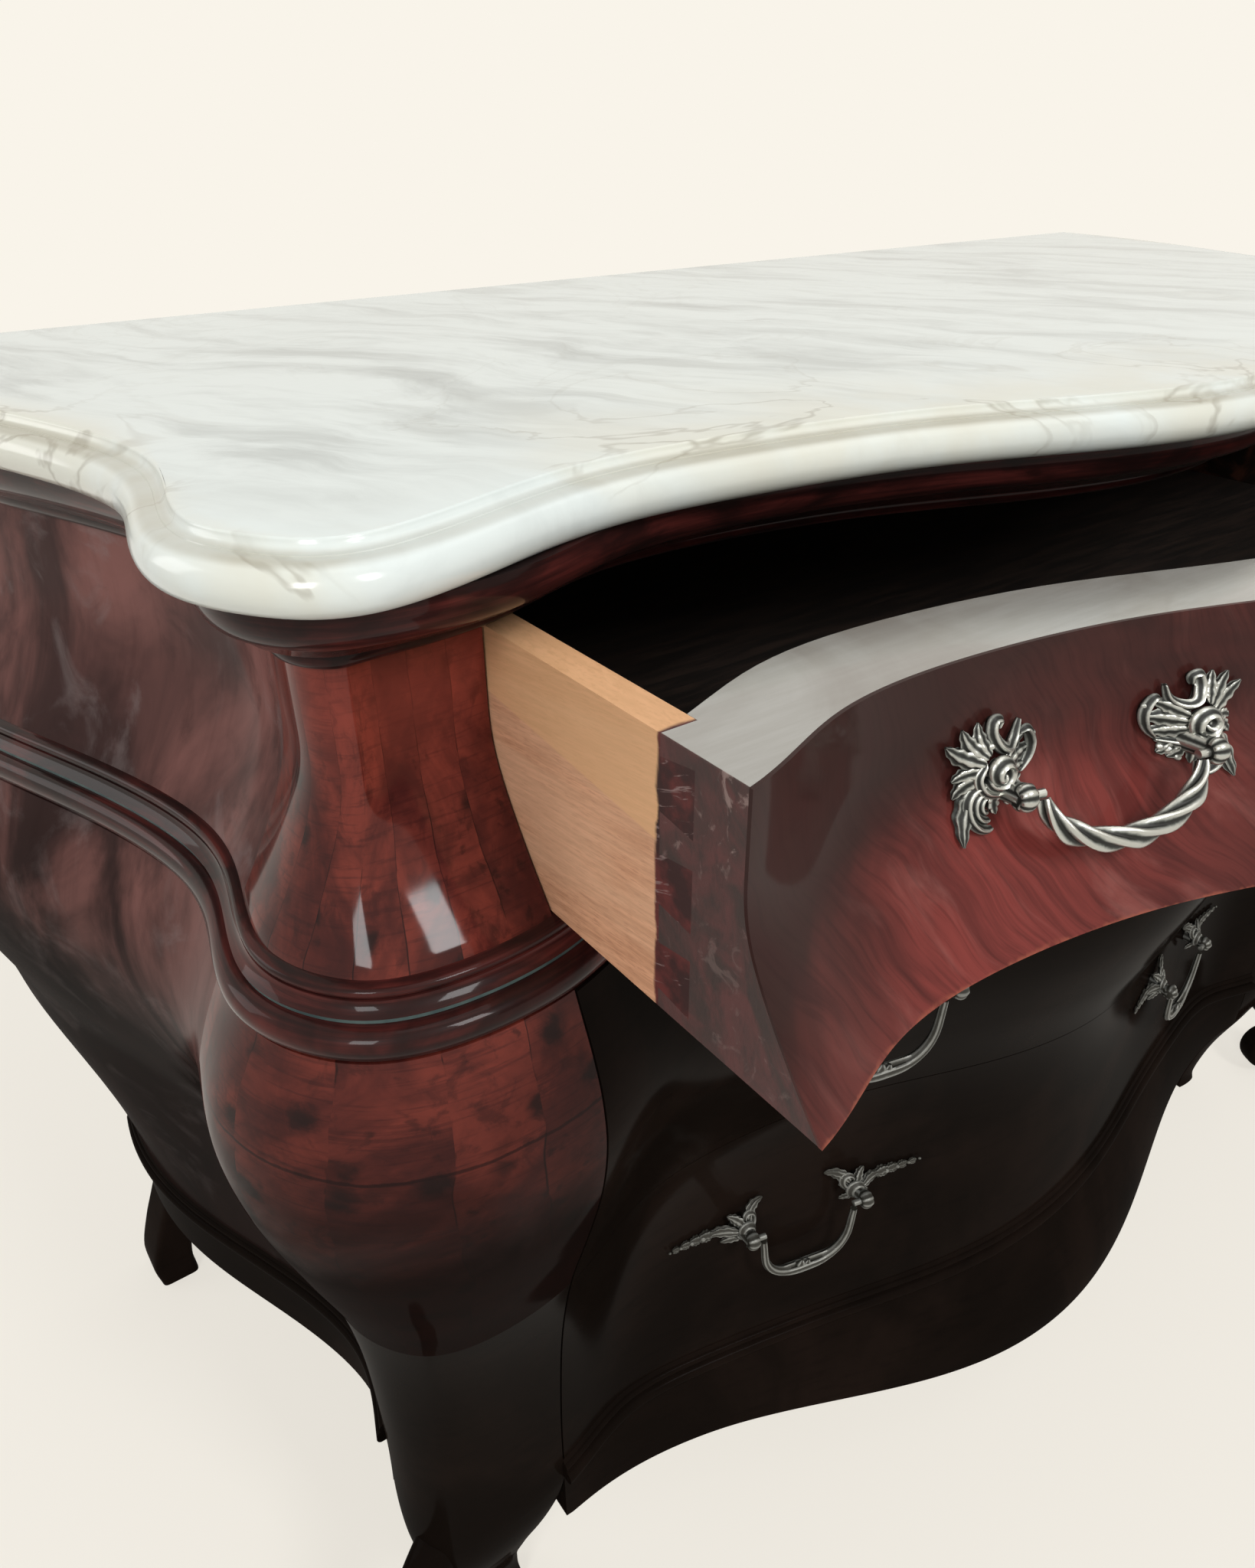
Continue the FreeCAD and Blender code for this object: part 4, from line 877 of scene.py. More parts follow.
def marble_shell():
    """Sections across the stone from a point of its straight back: out along the
    underside, round the nosing, up the hollow and back over the top."""
    u = span(0.0, LAST)
    radius, step = size("nosing") / 2, MARBLE_BOTTOM + size("nosing")
    nose = arc(MARBLE_BOTTOM + radius, size("overhang") - radius, radius, -90.0, NOSE_END, 20)
    edge = nose[-1, 1] - LEDGE
    turn = np.radians(np.linspace(0.0, HOLLOW_TURN, 9))
    climb = (1.0 - np.cos(turn)) / (1.0 - np.cos(turn[-1]))
    hollow = np.stack([step + HOLLOW_STEP + (MARBLE_TOP - step - HOLLOW_STOP - LIP_R) * climb,
                       edge - HOLLOW_W * np.sin(turn) / np.sin(turn[-1])], axis=1)
    lip = arc(MARBLE_TOP - LIP_R, hollow[-1, 1] - LIP_BACK, LIP_R, 0.0, 90.0, 5)
    profile = np.concatenate([nose, [(step, edge + HOLLOW_STEP)], hollow, lip])
    rim = skin(u[:, None], profile[None, :, 0], profile[None, :, 1])
    rim[..., :2] -= (weights(u) @ WAISTED)[:, None]
    back = np.linspace(rim[0, :, 0].max(), rim[-1, :, 0].min(), len(u))
    back = np.stack([back, np.full(len(u), CARCASS_BACK), np.zeros(len(u))], axis=1)

    def across(row, height, shares):
        """Points from the rim towards the back line."""
        share = np.array(shares)[None, :, None]
        flat = rim[:, [row]] * (1.0 - share) + back[:, None] * share
        flat[..., 2] = height
        return flat

    points = np.concatenate([across(0, MARBLE_BOTTOM, UNDERSIDE_SHARES), rim,
                             across(-1, MARBLE_TOP, TOP_SHARES)], axis=1)
    near = np.concatenate([np.ones(len(UNDERSIDE_SHARES) + len(profile)), TOP_EDGE_MARKS])
    return marked(points, relief=near[None])


# ---- mouldings ----
# How far the front base moulding keeps from the frame behind it and the drawer above it.
REVEAL = 1.2
# Top moulding, from the top of the cove: height and distance out.
TOP_FOOT, NECK_CENTRE, NECK_R, TOP_FLAT = (0.0, 2.0), (5.0, 3.0), 4.5, ((10.0, 10.0), (11.0, 20.0))
OVOLO_BELOW_STONE, OVOLO_OUT, OVOLO_R = 6.0, -19.0, 15.0
INLAY_OUT, INLAY_H, INLAY_PROUD, INLAY_PLAY, INLAY_DEPTH = 9.0, 2.2, 1.4, 0.1, 0.5
BEAD_OUT, GROOVE_STEP, SMALL_BEAD_R, SMALL_BEAD_OUT, SMALL_BEAD_DOWN = 3.0, 0.4, 2.6, 3.6, 5.2
SCOTIA_START, SCOTIA_OUT, SCOTIA_TOP, SCOTIA_POWER, SCOTIA_ROWS = 2.2, 6.0, 8.0, 1.6, 6
BASE_H, BASE_BEAD_R, BASE_BEAD_OUT, FILLET_R, FILLET_OUT, FILLET_UP = 20.0, 5.5, 4.0, 3.2, 2.0, 14.0
FRONT_SPAN, SIDE_SPAN = (MITRE, LAST - MITRE), (0.0, MITRE)


def top_profile():
    """A small bead at the neck, a flat, and an ovolo up to the stone."""
    start = np.array([UPPER_TOP, -COVE_DEPTH])
    neck = arc(*(start + NECK_CENTRE), NECK_R, -80.0, 60.0, 9)
    ovolo = arc(MARBLE_BOTTOM - OVOLO_BELOW_STONE, OVOLO_OUT, OVOLO_R, -80.0, 0.0, 14)
    return np.concatenate([[start + TOP_FOOT], neck, start + TOP_FLAT, ovolo,
                           [(MARBLE_BOTTOM, ovolo[-1, 1])]])


def waist_profile():
    """A bead, the flat of the inlay, a hollow and a small bead; and the inlay's height."""
    bead = arc(BODY_TOP + size("bead"), INLAY_OUT + BEAD_OUT, size("bead"), -90.0, 80.0, 18)
    groove = bead[-1, 0] + GROOVE_STEP
    small = arc(WAIST - SMALL_BEAD_DOWN, SMALL_BEAD_OUT, SMALL_BEAD_R, -70.0, 80.0, 9)
    share = np.linspace(1.0, 0.0, SCOTIA_ROWS) ** SCOTIA_POWER
    scotia = np.stack([np.linspace(groove + INLAY_H + GROOVE_STEP, WAIST - SCOTIA_TOP, SCOTIA_ROWS),
                       SCOTIA_OUT + (INLAY_OUT + SCOTIA_START - SCOTIA_OUT) * share], axis=1)
    return np.concatenate([bead, [(groove, INLAY_OUT), (groove + INLAY_H, INLAY_OUT)], scotia, small,
                           [(STAGE_BOTTOM, 0.0)]]), groove


def base_profile(top):
    """A bead with a small fillet above it, under the swelling body."""
    body, bottom = float(swell(top)), top - BASE_H
    return np.concatenate([arc(bottom + BASE_BEAD_R, body + BASE_BEAD_OUT, BASE_BEAD_R, -90.0, 70.0, 12),
                           arc(bottom + FILLET_UP, body + FILLET_OUT, FILLET_R, -70.0, 90.0, 9),
                           [(top, body)]])


def side_stop():
    """Station number at which the rear leg begins."""
    fine = np.linspace(0.0, 1.0, 101)
    return float(np.interp(REAR_POST - CARCASS_BACK, -skin(fine, WAIST, 0.0)[:, 1], fine))


def add_moulding(name, profile, inner):
    """Front and side runs of a polished moulding."""
    make_piece(name + "_front", [moulding(profile, inner, span(*FRONT_SPAN))], "polished_mahogany")
    carcass_pair(name, [moulding(profile, inner, span(*SIDE_SPAN))], "polished_mahogany")


# ---- posts, fronts and aprons ----
CORE = np.array([-OPENING_HALF, POST_DEPTH, 0.0])
POST_PER_STATION = 12


def post_shell(heights, profile):
    """Corner of the carcass: the moulded skin outside and one upright edge inside."""
    u = span(POST_SIDE, DRAWER_END, POST_PER_STATION)
    outer = skin(u[:, None], heights[None], profile(heights)[None])
    inner = np.broadcast_to(CORE, (len(u), 2, 3)).copy()
    inner[..., 2] = heights[[-1, 0]]
    return marked(np.concatenate([outer, inner], axis=1), run_length(u)[:, None])


VENEER_LAP, VENEER_SUNK = 0.08, 1.5
VENEER_ROWS, VENEER_COLUMNS = 60, 221


def veneer_shell(node, profile):
    """Thin sheet over a drawer front: for each x, up its outer face and down its inner."""
    x = np.linspace(-DRAWER_HALF - VENEER_LAP, DRAWER_HALF + VENEER_LAP, VENEER_COLUMNS)
    z = np.linspace(low(node, 2) - VENEER_LAP, high(node, 2) + VENEER_LAP, VENEER_ROWS)
    proud = np.repeat([size("veneer"), -VENEER_SUNK], VENEER_ROWS)
    x, z = np.meshgrid(x, np.concatenate([z, z[::-1]]), indexing="ij")
    return marked(np.stack([x, front_y(x, z) - profile(z) - proud[None], z], axis=-1))


APRON_H, APRON_DROP, APRON_FLARE, APRON_FULLNESS, APRON_KICK = 50.0, 30.0, 43.0, 0.7, 1.6
SHOULDER_POWER, APRON_COLUMNS, APRON_ROWS = 1.8, 181, 14


def apron_shell():
    """Front apron: for each x a section that kicks out below, most at the middle, and
    whose lower edge dips as a squared cosine; its back is the same section set in."""
    x = np.linspace(-OPENING_HALF, OPENING_HALF, APRON_COLUMNS)
    wave = np.cos(np.pi * x / OPENING_HALF / 2)
    lowest = APRON_TOP - APRON_H - APRON_DROP
    bottom = APRON_TOP - APRON_H - APRON_DROP * wave ** 2
    beyond = np.clip((np.abs(x) - HOLLOW_X) / (OPENING_HALF - HOLLOW_X), 0.0, 1.0)
    shoulder = HOLLOW_Y + (STATIONS[DRAWER_END][1] - HOLLOW_Y) * beyond ** SHOULDER_POWER
    line = np.where(np.abs(x) <= HOLLOW_X, belly(x), shoulder) - swell(APRON_TOP) - BOW * flank(x)
    z = bottom[:, None] + (APRON_TOP - bottom)[:, None] * np.linspace(0.0, 1.0, APRON_ROWS)[None]
    rise = (z - lowest) / (APRON_TOP - lowest)
    flare = APRON_FLARE * (1.0 - rise ** APRON_KICK) * np.maximum(wave, 0.0)[:, None] ** APRON_FULLNESS
    outer = np.stack([np.broadcast_to(x[:, None], z.shape), line[:, None] - flare, z], axis=-1)
    return marked(np.concatenate([outer, outer[:, ::-1] + (0.0, SIDE_WALL, 0.0)], axis=1))


# ---- legs ----
LEG_TURN, ANKLE_ROWS, STILE_ROWS = math.radians(27.0), 34, 24
LEG_AHEAD = -np.array([math.cos(LEG_TURN), math.sin(LEG_TURN), 0.0])
# Share of the apron's height, how far the leg has moved out, and its size.
CABRIOLE = np.array([(1.0, 0.0, 1.0), (0.9, 6.0, 0.95), (0.81, 14.0, 0.87), (0.72, 22.0, 0.77),
                     (0.63, 29.0, 0.66), (0.53, 33.0, 0.56), (0.44, 33.0, 0.48), (0.33, 30.0, 0.41),
                     (0.21, 27.0, 0.36), (0.06, 22.0, 0.34), (0.0, 22.0, 0.36)])[::-1]
# The scroll's centre line before its curl, outwards and up from the heel.
SCROLL_ROUTE = [(40.0, 165.0), (66.0, 146.0), (88.0, 120.0), (103.0, 92.0)]
CURL_START, CURL_END, CURL_STEPS, CURL_OUTER, CURL_NARROWS = 38.0, -290.0, 40, 25.0, 9.0
SCROLL_R, SCROLL_REACH, SCROLL_ROWS, SCROLL_THINS, SCROLL_POWER = 38.0, 100.0, 110, 0.18, 0.6
FOOT_T = 32.0
# Share of the scroll's length, and half its width there.
SCROLL_WIDTHS = np.array([(0.0, 25.0), (0.16, 32.0), (0.3, 30.0), (0.42, 20.0), (0.55, 13.0),
                          (0.8, 9.0), (1.0, 7.0)])


def leg_shell():
    """Stile and ankle as plan sections up the leg, each a scaled copy of the post's."""
    u = span(POST_SIDE, DRAWER_END, POST_PER_STATION)
    core = CORE[:2]
    low_z = np.linspace(0.0, APRON_TOP, ANKLE_ROWS)
    high_z = np.linspace(APRON_TOP, MIDDLE_BOTTOM, STILE_ROWS)[1:]
    foot = skin(u[None], np.full((len(low_z), 1), APRON_TOP), swell(APRON_TOP))[..., :2]
    move, size = through(CABRIOLE, low_z / APRON_TOP).T[..., None]
    centre = core + LEG_AHEAD[:2] * move
    foot = core + (foot - core) * size[:, None] + (centre - core)[:, None]
    stile = skin(u[None], high_z[:, None], swell(high_z)[:, None])[..., :2]
    inner = np.concatenate([centre, np.broadcast_to(core, (len(high_z), 2))])
    plan = np.concatenate([np.concatenate([foot, stile]), inner[:, None]], axis=1)
    z = np.concatenate([low_z, high_z])[:, None, None]
    return marked(np.concatenate([plan, np.broadcast_to(z, (*plan.shape[:2], 1))], axis=-1))


def scroll_shell():
    """The scroll: a bar whose centre line runs down out of the knee and round the eye."""
    _, move, size = CABRIOLE[0]
    heel = CORE + LEG_AHEAD * move
    heel[:2] -= (abs(STATIONS[POST_SIDE][0]) - OPENING_HALF) * size / 2
    share = np.linspace(0.0, 1.0, CURL_STEPS)
    turn = np.radians(np.linspace(CURL_START, CURL_END, CURL_STEPS))
    curl = (SCROLL_REACH, SCROLL_R) + (CURL_OUTER - CURL_NARROWS * share)[:, None] * circle(turn)
    knots = np.concatenate([SCROLL_ROUTE, curl])
    at = distance(knots)
    share = np.linspace(0.0, 1.0, SCROLL_ROWS)
    line = through(np.column_stack([at, knots]), at[-1] * share)
    half = through(SCROLL_WIDTHS, share)[:, 0]
    plane = np.array([LEG_AHEAD, UP])
    across = np.cross(UP, LEG_AHEAD)
    thick = FOOT_T / 2 * (1.0 - SCROLL_THINS * share)
    return carved_bar(heel + line @ plane, left_of(line) @ plane, across, half, thick, around=28,
                      power=SCROLL_POWER)


REAR_POST, STILE_LAP, CORNER_POWER, REAR_ROWS, REAR_AROUND = 46.0, 6.0, 0.25, 40, 40
REAR_CORNER_X = OPENING_HALF + 135.5
STILE_BACK = CARCASS_BACK - 10.0
# Share of the leg's height, how far its outer face has moved out, and its width.
REAR_LEG = np.array([(1.0, 0.0, REAR_POST), (0.86, -7.0, 44.0), (0.75, -8.0, 41.0), (0.62, -4.0, 39.0),
                     (0.49, 6.0, 37.0), (0.37, 17.0, 36.0), (0.25, 28.0, 35.0), (0.1, 38.0, 38.0),
                     (0.0, 35.0, 36.0)])[::-1]


def rear_leg_shells():
    """Square leg that sweeps out towards the floor, with rounded corners, and the plain
    stile above it inside the carcass."""
    share = np.linspace(0.0, 1.0, REAR_ROWS)
    move, width = through(REAR_LEG, share).T[..., None]
    turn = np.linspace(0.0, 2 * np.pi, REAR_AROUND, endpoint=False)
    round_x, round_y = squared(circle(turn), CORNER_POWER).T
    x = width / 2 * round_x - (REAR_CORNER_X + move - width / 2)
    y = np.broadcast_to(CARCASS_BACK - REAR_POST / 2 + REAR_POST / 2 * round_y, x.shape)
    z = np.broadcast_to((share * SIDE_BOTTOM)[:, None], x.shape)
    outer, inner, near = -REAR_CORNER_X, REAR_POST - REAR_CORNER_X, STILE_BACK - REAR_POST
    corners = ((outer, near), (inner, near), (inner, STILE_BACK), (outer, STILE_BACK))
    ends = (SIDE_BOTTOM - STILE_LAP, MARBLE_BOTTOM)
    stile = np.array([[(*corner, end) for corner in corners] for end in ends])
    return [marked(np.stack([x, y, z], axis=-1)), marked(stile)]


# ---- pulls ----
PIVOT_STANDOFF, PIN_R, PIN_L = 20.0, 2.2, 11.0
HEAD_R, HEAD_W, HEAD_LEAST, HEAD_OPEN, HEAD_ROWS = 6.5, 9.0, 0.55, 0.12, 14
POST_R, POST_FLARE, POST_SPREAD, POST_SUNK, POST_ROWS = 4.0, 2.2, 1.0, 1.0, 12
# Height of the pivots, chest's middle to the pull's, distance between its posts, drop and
# lean of the bail, and the profile of the drawer.
Pull = namedtuple("Pull", "pivot_z centre spacing drop lean profile")
PULLS = {"upper": Pull(WAIST + 66.0, 229.0, 104.0, 32.0, math.radians(30.0), cove),
         "middle": Pull(MIDDLE_BOTTOM + 132.6, 238.0, 90.0, 52.0, 0.0, swell),
         "lower": Pull(LOWER_BOTTOM + 118.0, 238.0, 90.0, 52.0, 0.0, swell)}
DOME_H, DOME_R, DOME_EDGE, DEEPEST_RELIEF, LEAST_DEPTH = 9.0, 9.0, 2.5, 0.3, 0.1
CURVE_ROWS, LEAF_ROWS, PEARL_ROWS, RIBBON_ROWS, PEARL_OPEN = 40, 26, 9, 10, 0.03
LEAF_TALLEST, LEAF_CRIMP, LEAF_CRIMPS = 2.6, 0.12, 24.0


def dome(line):
    """Height of a plate's ground: highest over its middle, falling as a bell curve."""
    return DOME_EDGE + DOME_H * np.exp(-(line ** 2).sum(axis=1) / (2 * DOME_R ** 2))


def flat_bar(line, width, height, raised, **more):
    """Carved bar on a plate's ground: line in (right, up), raised above it at each point."""
    side = np.column_stack([left_of(line), np.zeros(len(line))])
    return carved_bar(np.column_stack([line, dome(line) + raised]), side, UP, width, height, **more)


def scroll(centre, start, sweep, outer, inner, thick):
    """C-scroll: a spiral from an outer to an inner radius, thickest half way along."""
    share = np.linspace(0.0, 1.0, CURVE_ROWS)
    radius = outer + (inner - outer) * share
    line = centre + radius[:, None] * circle(np.radians(start + sweep * share))
    width = thick * (0.35 + 0.65 * np.sin(np.pi * np.clip(share * 0.9 + 0.1, 0.0, 1.0)) ** 0.7)
    return flat_bar(line, width, width * 1.25, width * 0.3, ribs=4, depth=0.2)


def leaf(x, y, angle, long, wide, bend, ribs=5):
    """Acanthus lobe: a bowed midrib with an oval section that is ribbed lengthwise."""
    share = np.linspace(0.0, 1.0, LEAF_ROWS)
    turn = np.radians(angle + bend * share)
    line = (x, y) + np.cumsum(circle(turn) * long / (LEAF_ROWS - 1), axis=0)
    width = wide * np.sin(np.pi * np.clip(share ** 0.8 * 0.93 + 0.05, 0.0, 1.0)) ** 0.8 + 0.15
    width = width * (1.0 + LEAF_CRIMP * np.sin(share * LEAF_CRIMPS))
    height = np.minimum(LEAF_TALLEST, 0.2 + width * 0.6)
    return flat_bar(line, width, height, 0.0, ribs=ribs, depth=0.16, around=24)


def pearl(x, y, radius):
    """Small round boss: a bar whose section is a circle that opens and closes."""
    turn = np.linspace(PEARL_OPEN, np.pi - PEARL_OPEN, PEARL_ROWS)
    line = np.stack([x - radius * np.cos(turn), np.full(PEARL_ROWS, y)], axis=1)
    width = radius * np.sin(turn)
    return flat_bar(line, width, width, radius * 0.4, around=12)


def ribbon(places, wide, thin=0.3):
    """Strap along a smooth curve through a few places, thickest half way along."""
    rows = np.arange(len(places))
    at = np.linspace(0.0, rows[-1], RIBBON_ROWS * len(places))
    width = wide * (thin + (1.0 - thin) * np.sin(np.pi * at / at[-1]) ** 0.6)
    return flat_bar(through(np.column_stack([rows, places]), at), width, width * 1.2, width * 0.3,
                    ribs=4, depth=0.22)


# Leaves of the upper plates: place, heading, length, half width, bend and, if not 5, ribs;
# pearls: place and radius; and the three nested ribs of the shell: radius and thickness.
ROCAILLE_LEAVES = [
    (-3, 7, 122, 15, 3.0, -34), (-4, 6, 146, 18, 3.3, -34), (-5, 4, 166, 21, 3.5, -30),
    (-7, 1, 184, 13, 3.0, 22), (-8, -2, 200, 14, 3.2, 26), (-7, -6, 226, 26, 4.6, 34, 7),
    (6, 3, 34, 17, 3.2, -16), (6.5, 0.5, 12, 19, 3.4, -8), (6.5, -2.5, -8, 16, 3.2, 6),
    (5, -8, -62, 12, 3.4, 34), (10, -8.5, -50, 10, 3.0, 34), (0, -8, -92, 13, 3.6, 24)]
ROCAILLE_PEARLS = [(-2, 11, 1.7), (13.5, -13, 2.0), (9, -17, 1.7), (17, -11.5, 1.6), (26, 9, 1.6)]
SHELL_RIBS = [(4.0, 1.9), (7.4, 2.2), (11.0, 2.4)]
SPRAY_START, SPRAY_STEP, SPRAY_WIDE, SPRAY_DWINDLE, SPRAY_COUNT = -21.0, 9.0, 3.6, 0.16, 4


def rocaille():
    """Cast plate of the upper pulls: a coiled boss with a strap swept under it to the
    post, a crescent with a curled horn above, leaves and a ribbed shell on the outer side
    and flutes on the inner."""
    shells = [scroll((0.0, 0.0), 200.0, 520.0, 6.6, 1.4, 3.2),
              ribbon([(-6, 5), (-9.5, -2), (-5, -8.5), (7, -10), (19, -8)], 2.4),
              ribbon([(17, 18), (14, 11), (8.5, 8), (3, 10), (0, 16), (1, 21), (4.5, 20.5), (4, 17)],
                     2.5, 0.35),
              ribbon([(19, -7), (24, -1), (25.5, 6), (22, 12), (18, 11)], 2.3)]
    shells += [leaf(*row) for row in ROCAILLE_LEAVES]
    shells += [scroll((-3.0, -15.0), 112.0, 165.0, radius, radius, thick) for radius, thick in SHELL_RIBS]
    return shells + [pearl(*row) for row in ROCAILLE_PEARLS]


def foliate():
    """Cast plate of the lower pulls: a coiled boss at the post, a leaf curling inwards above
    the bail, and a long spray of husks and pearls that dwindles outwards."""
    shells = [scroll((0.0, 0.0), 200.0, 400.0, 7.0, 2.2, 2.8),
              scroll((4.0, 7.0), -100.0, 280.0, 6.0, 2.5, 2.2),
              leaf(4, 5, 62, 19, 3.8, -60, 7), leaf(2, -4, -70, 11, 3.0, 40), leaf(-1, 4, 118, 12, 3.2, 40),
              leaf(-2, -5, 222, 14, 3.4, -30), leaf(-4, 0, 176, 20, 4.4, 8, 7)]
    for k in range(SPRAY_COUNT):
        x, scale = SPRAY_START - SPRAY_STEP * k, 1.0 - SPRAY_DWINDLE * k
        shells += [leaf(x, 0.6 * k, 158, 11.0 * scale, SPRAY_WIDE * scale, 22),
                   leaf(x, 0.6 * k - 0.5, 200, 10.0 * scale, SPRAY_WIDE * scale * 0.8, -18),
                   pearl(x - SPRAY_STEP * 0.9, 0.8 * k + 0.4, 2.1 * scale)]
    return shells


# Cast of each drawer's plates, and how far it is moved inwards and up from the post.
CASTS = {"upper": (rocaille, -5.0, 9.0), "middle": (foliate, 0.0, 3.0), "lower": (foliate, 0.0, 3.0)}


def pull_ends(pull, side):
    """Pivot points of a pull in the neck's frame, drawer closed."""
    x = side * pull.centre + np.array([-0.5, 0.5]) * pull.spacing
    face = belly(x) - pull.profile(pull.pivot_z) - bow(pull.pivot_z) * flank(x)
    return np.stack([x, face - PIVOT_STANDOFF, np.full(2, pull.pivot_z)], axis=1)


def post_shells(point, inward):
    """Post from the drawer's face and the pierced head round the pin."""
    share = np.linspace(0.0, 1.0, POST_ROWS)
    path = point + ((PIVOT_STANDOFF + POST_SUNK) * (1.0 - share))[:, None] * (0.0, 1.0, 0.0)
    radius = POST_R + POST_FLARE * (1.0 - share) ** 2 + POST_SPREAD * share
    post = carved_bar(path, (1.0, 0.0, 0.0), UP, radius, radius, 6, 0.08, around=24)
    turn = np.linspace(HEAD_OPEN, np.pi - HEAD_OPEN, HEAD_ROWS)
    path = point - HEAD_W / 2 * np.cos(turn)[:, None] * inward
    radius = HEAD_R * (HEAD_LEAST + (1.0 - HEAD_LEAST) * np.sin(turn))
    return [post, carved_bar(path, np.cross(inward, UP), UP, radius, radius, 8, 0.06, around=32)]


def plates_shells(name):
    """All four cast plates of a drawer, laid onto its skin, each with its post and head.
    The hollows of a plate are darker the lower they lie."""
    pull = PULLS[name]
    cast, inwards, up = CASTS[name]
    shells = []
    for side in (-1, 1):
        ends = pull_ends(pull, side)
        for point, flip in zip(ends, (1.0, -1.0)):
            for local, marks in cast():
                x = point[0] + flip * (local[..., 0] + inwards)
                z = point[2] + local[..., 1] + up
                y = front_y(x, z) - pull.profile(z) - local[..., 2]
                raised = np.clip(local[..., 2] / DOME_H, LEAST_DEPTH, 1.0)
                marks[..., 2] *= DEEPEST_RELIEF + (1.0 - DEEPEST_RELIEF) * raised
                shells.append((np.stack([x, y, z], axis=-1), marks))
            shells += post_shells(point, unit(ends[1] - ends[0]) * flip)
    return shells


BAIL_R, BAIL_ROWS, BAIL_CLEAR, PIN_LAP = 3.8, 150, 1.0, 1.0
# How square the loop is, by the powers of its cosine and sine.
TWISTED_LOOP, SWAN_LOOP = (1.1, 0.85), (0.62, 0.7)
# Twisted loop: its radius, how much it swells at the middle and at each hip.
TWISTED_R, TWISTED_SWELL, HIP, HIP_AT, HIP_SPREAD = 2.8, 1.9, 0.6, 0.2, 0.07
TWIST, FLUTE_DEPTH = 8.5, 0.3
# Swan-necked loop: the same, with a knop at its middle, and the dip of its necks.
SWAN_R, SWAN_SWELL, KNOP, KNOP_SPREAD, KNOP_FLAT = 2.4, 1.0, 1.3, 0.1, 0.2
NECK_DIP, NECK_AT, NECK_SPREAD = 6.0, 0.06, 0.05
# Buds: start across the middle and height.
BUDS, BUD_ROWS, BUD_LEAN, BUD_ACROSS = ((-7.0, 9.0), (-1.5, 6.5)), 16, 2.0, 2.5


def humps(share, at, spread):
    """Two bell curves over a bail's length, as far from its two ends."""
    return np.exp(-((share - at) / spread) ** 2) + np.exp(-((share - 1.0 + at) / spread) ** 2)


def twisted_loop(path, side_way, normal, share):
    """Rope of four flutes, thickest at the middle and at its two hips."""
    radius = (TWISTED_R + TWISTED_SWELL * np.sin(np.pi * share) ** 0.8
              + HIP * humps(share, HIP_AT, HIP_SPREAD))
    return carved_bar(path, side_way, normal, radius, radius, 4, FLUTE_DEPTH, share * TWIST,
                      bpy.context.scene.chest_size.around * 2)


def swan_loop(path, side_way, normal, share):
    """Plain bar that swells to a fluted knop at its middle."""
    middle = np.exp(-((share - 0.5) / KNOP_SPREAD) ** 2)
    radius = SWAN_R + SWAN_SWELL * np.sin(np.pi * share) + KNOP * middle
    return carved_bar(path, side_way, normal, radius, radius * (1.0 - KNOP_FLAT * middle), 6,
                      0.06 + 0.2 * middle, around=bpy.context.scene.chest_size.around)


def bud_shells(lowest, axis, down, normal):
    """Two buds over the middle of a lower bail, each a stem whose radius opens and closes."""
    grow = np.linspace(0.0, 1.0, BUD_ROWS)[:, None]
    bulge = np.sin(np.pi * np.clip(grow[:, 0] ** 1.6 * 0.95 + 0.03, 0.0, 1.0))
    shells = []
    for start, tall in BUDS:
        stem = lowest + axis * (start + BUD_ACROSS * grow) - down * tall * grow - normal * BUD_LEAN * grow
        bud = tall * 0.3 * bulge + 0.8
        shells.append(carved_bar(stem, axis, normal, bud, bud, 5, 0.14))
    return shells


def bail_shells(name, side):
    """Bail: a half loop from pin to pin, its breadth a power of the cosine and its drop a
    power of the sine of the way along; twisted above, and below with swan necks and buds."""
    pull, twisted = PULLS[name], name == "upper"
    ends = pull_ends(pull, side)
    centre, axis = ends.mean(axis=0), unit(ends[1] - ends[0])
    outward = np.cross(axis, UP)
    down = outward * math.sin(pull.lean) - UP * math.cos(pull.lean)
    normal = np.cross(axis, down)
    arm = np.linalg.norm(ends[1] - ends[0]) / 2 - HEAD_W / 2 - BAIL_CLEAR - BAIL_R
    grip = pull.drop - BAIL_R
    share = np.linspace(0.0, 1.0, BAIL_ROWS)
    turn = np.pi * (0.02 + 0.96 * share)
    across_power, down_power = TWISTED_LOOP if twisted else SWAN_LOOP
    below = np.sin(turn) ** down_power * grip
    if not twisted:
        below = below - NECK_DIP * humps(share, NECK_AT, NECK_SPREAD)
    path = (centre - (squared(np.cos(turn), across_power) * arm)[:, None] * axis
            + below[:, None] * down)
    side_way = np.cross(unit(np.gradient(path, axis=0)), normal)
    shells = [(twisted_loop if twisted else swan_loop)(path, side_way, normal, share)]
    if not twisted:
        shells += bud_shells(centre + down * grip, axis, down, normal)
    for sign in (-1, 1):
        pin = centre + axis * sign * (arm - PIN_LAP + PIN_L * np.linspace(0.0, 1.0, 4)[:, None])
        shells.append(carved_bar(pin, outward, UP, PIN_R, PIN_R, around=16))
    return shells


# ---- operators ----
class CHEST_OT_marble(bpy.types.Operator):
    """Stone top with a rounded nosing, a step and a hollow above it"""
    bl_idname = "chest.marble"
    bl_label = "Marble top"

    def execute(self, context):
        make_piece("marble_slab", [marble_shell()], "white_marble", node="marble_top")
        return {"FINISHED"}


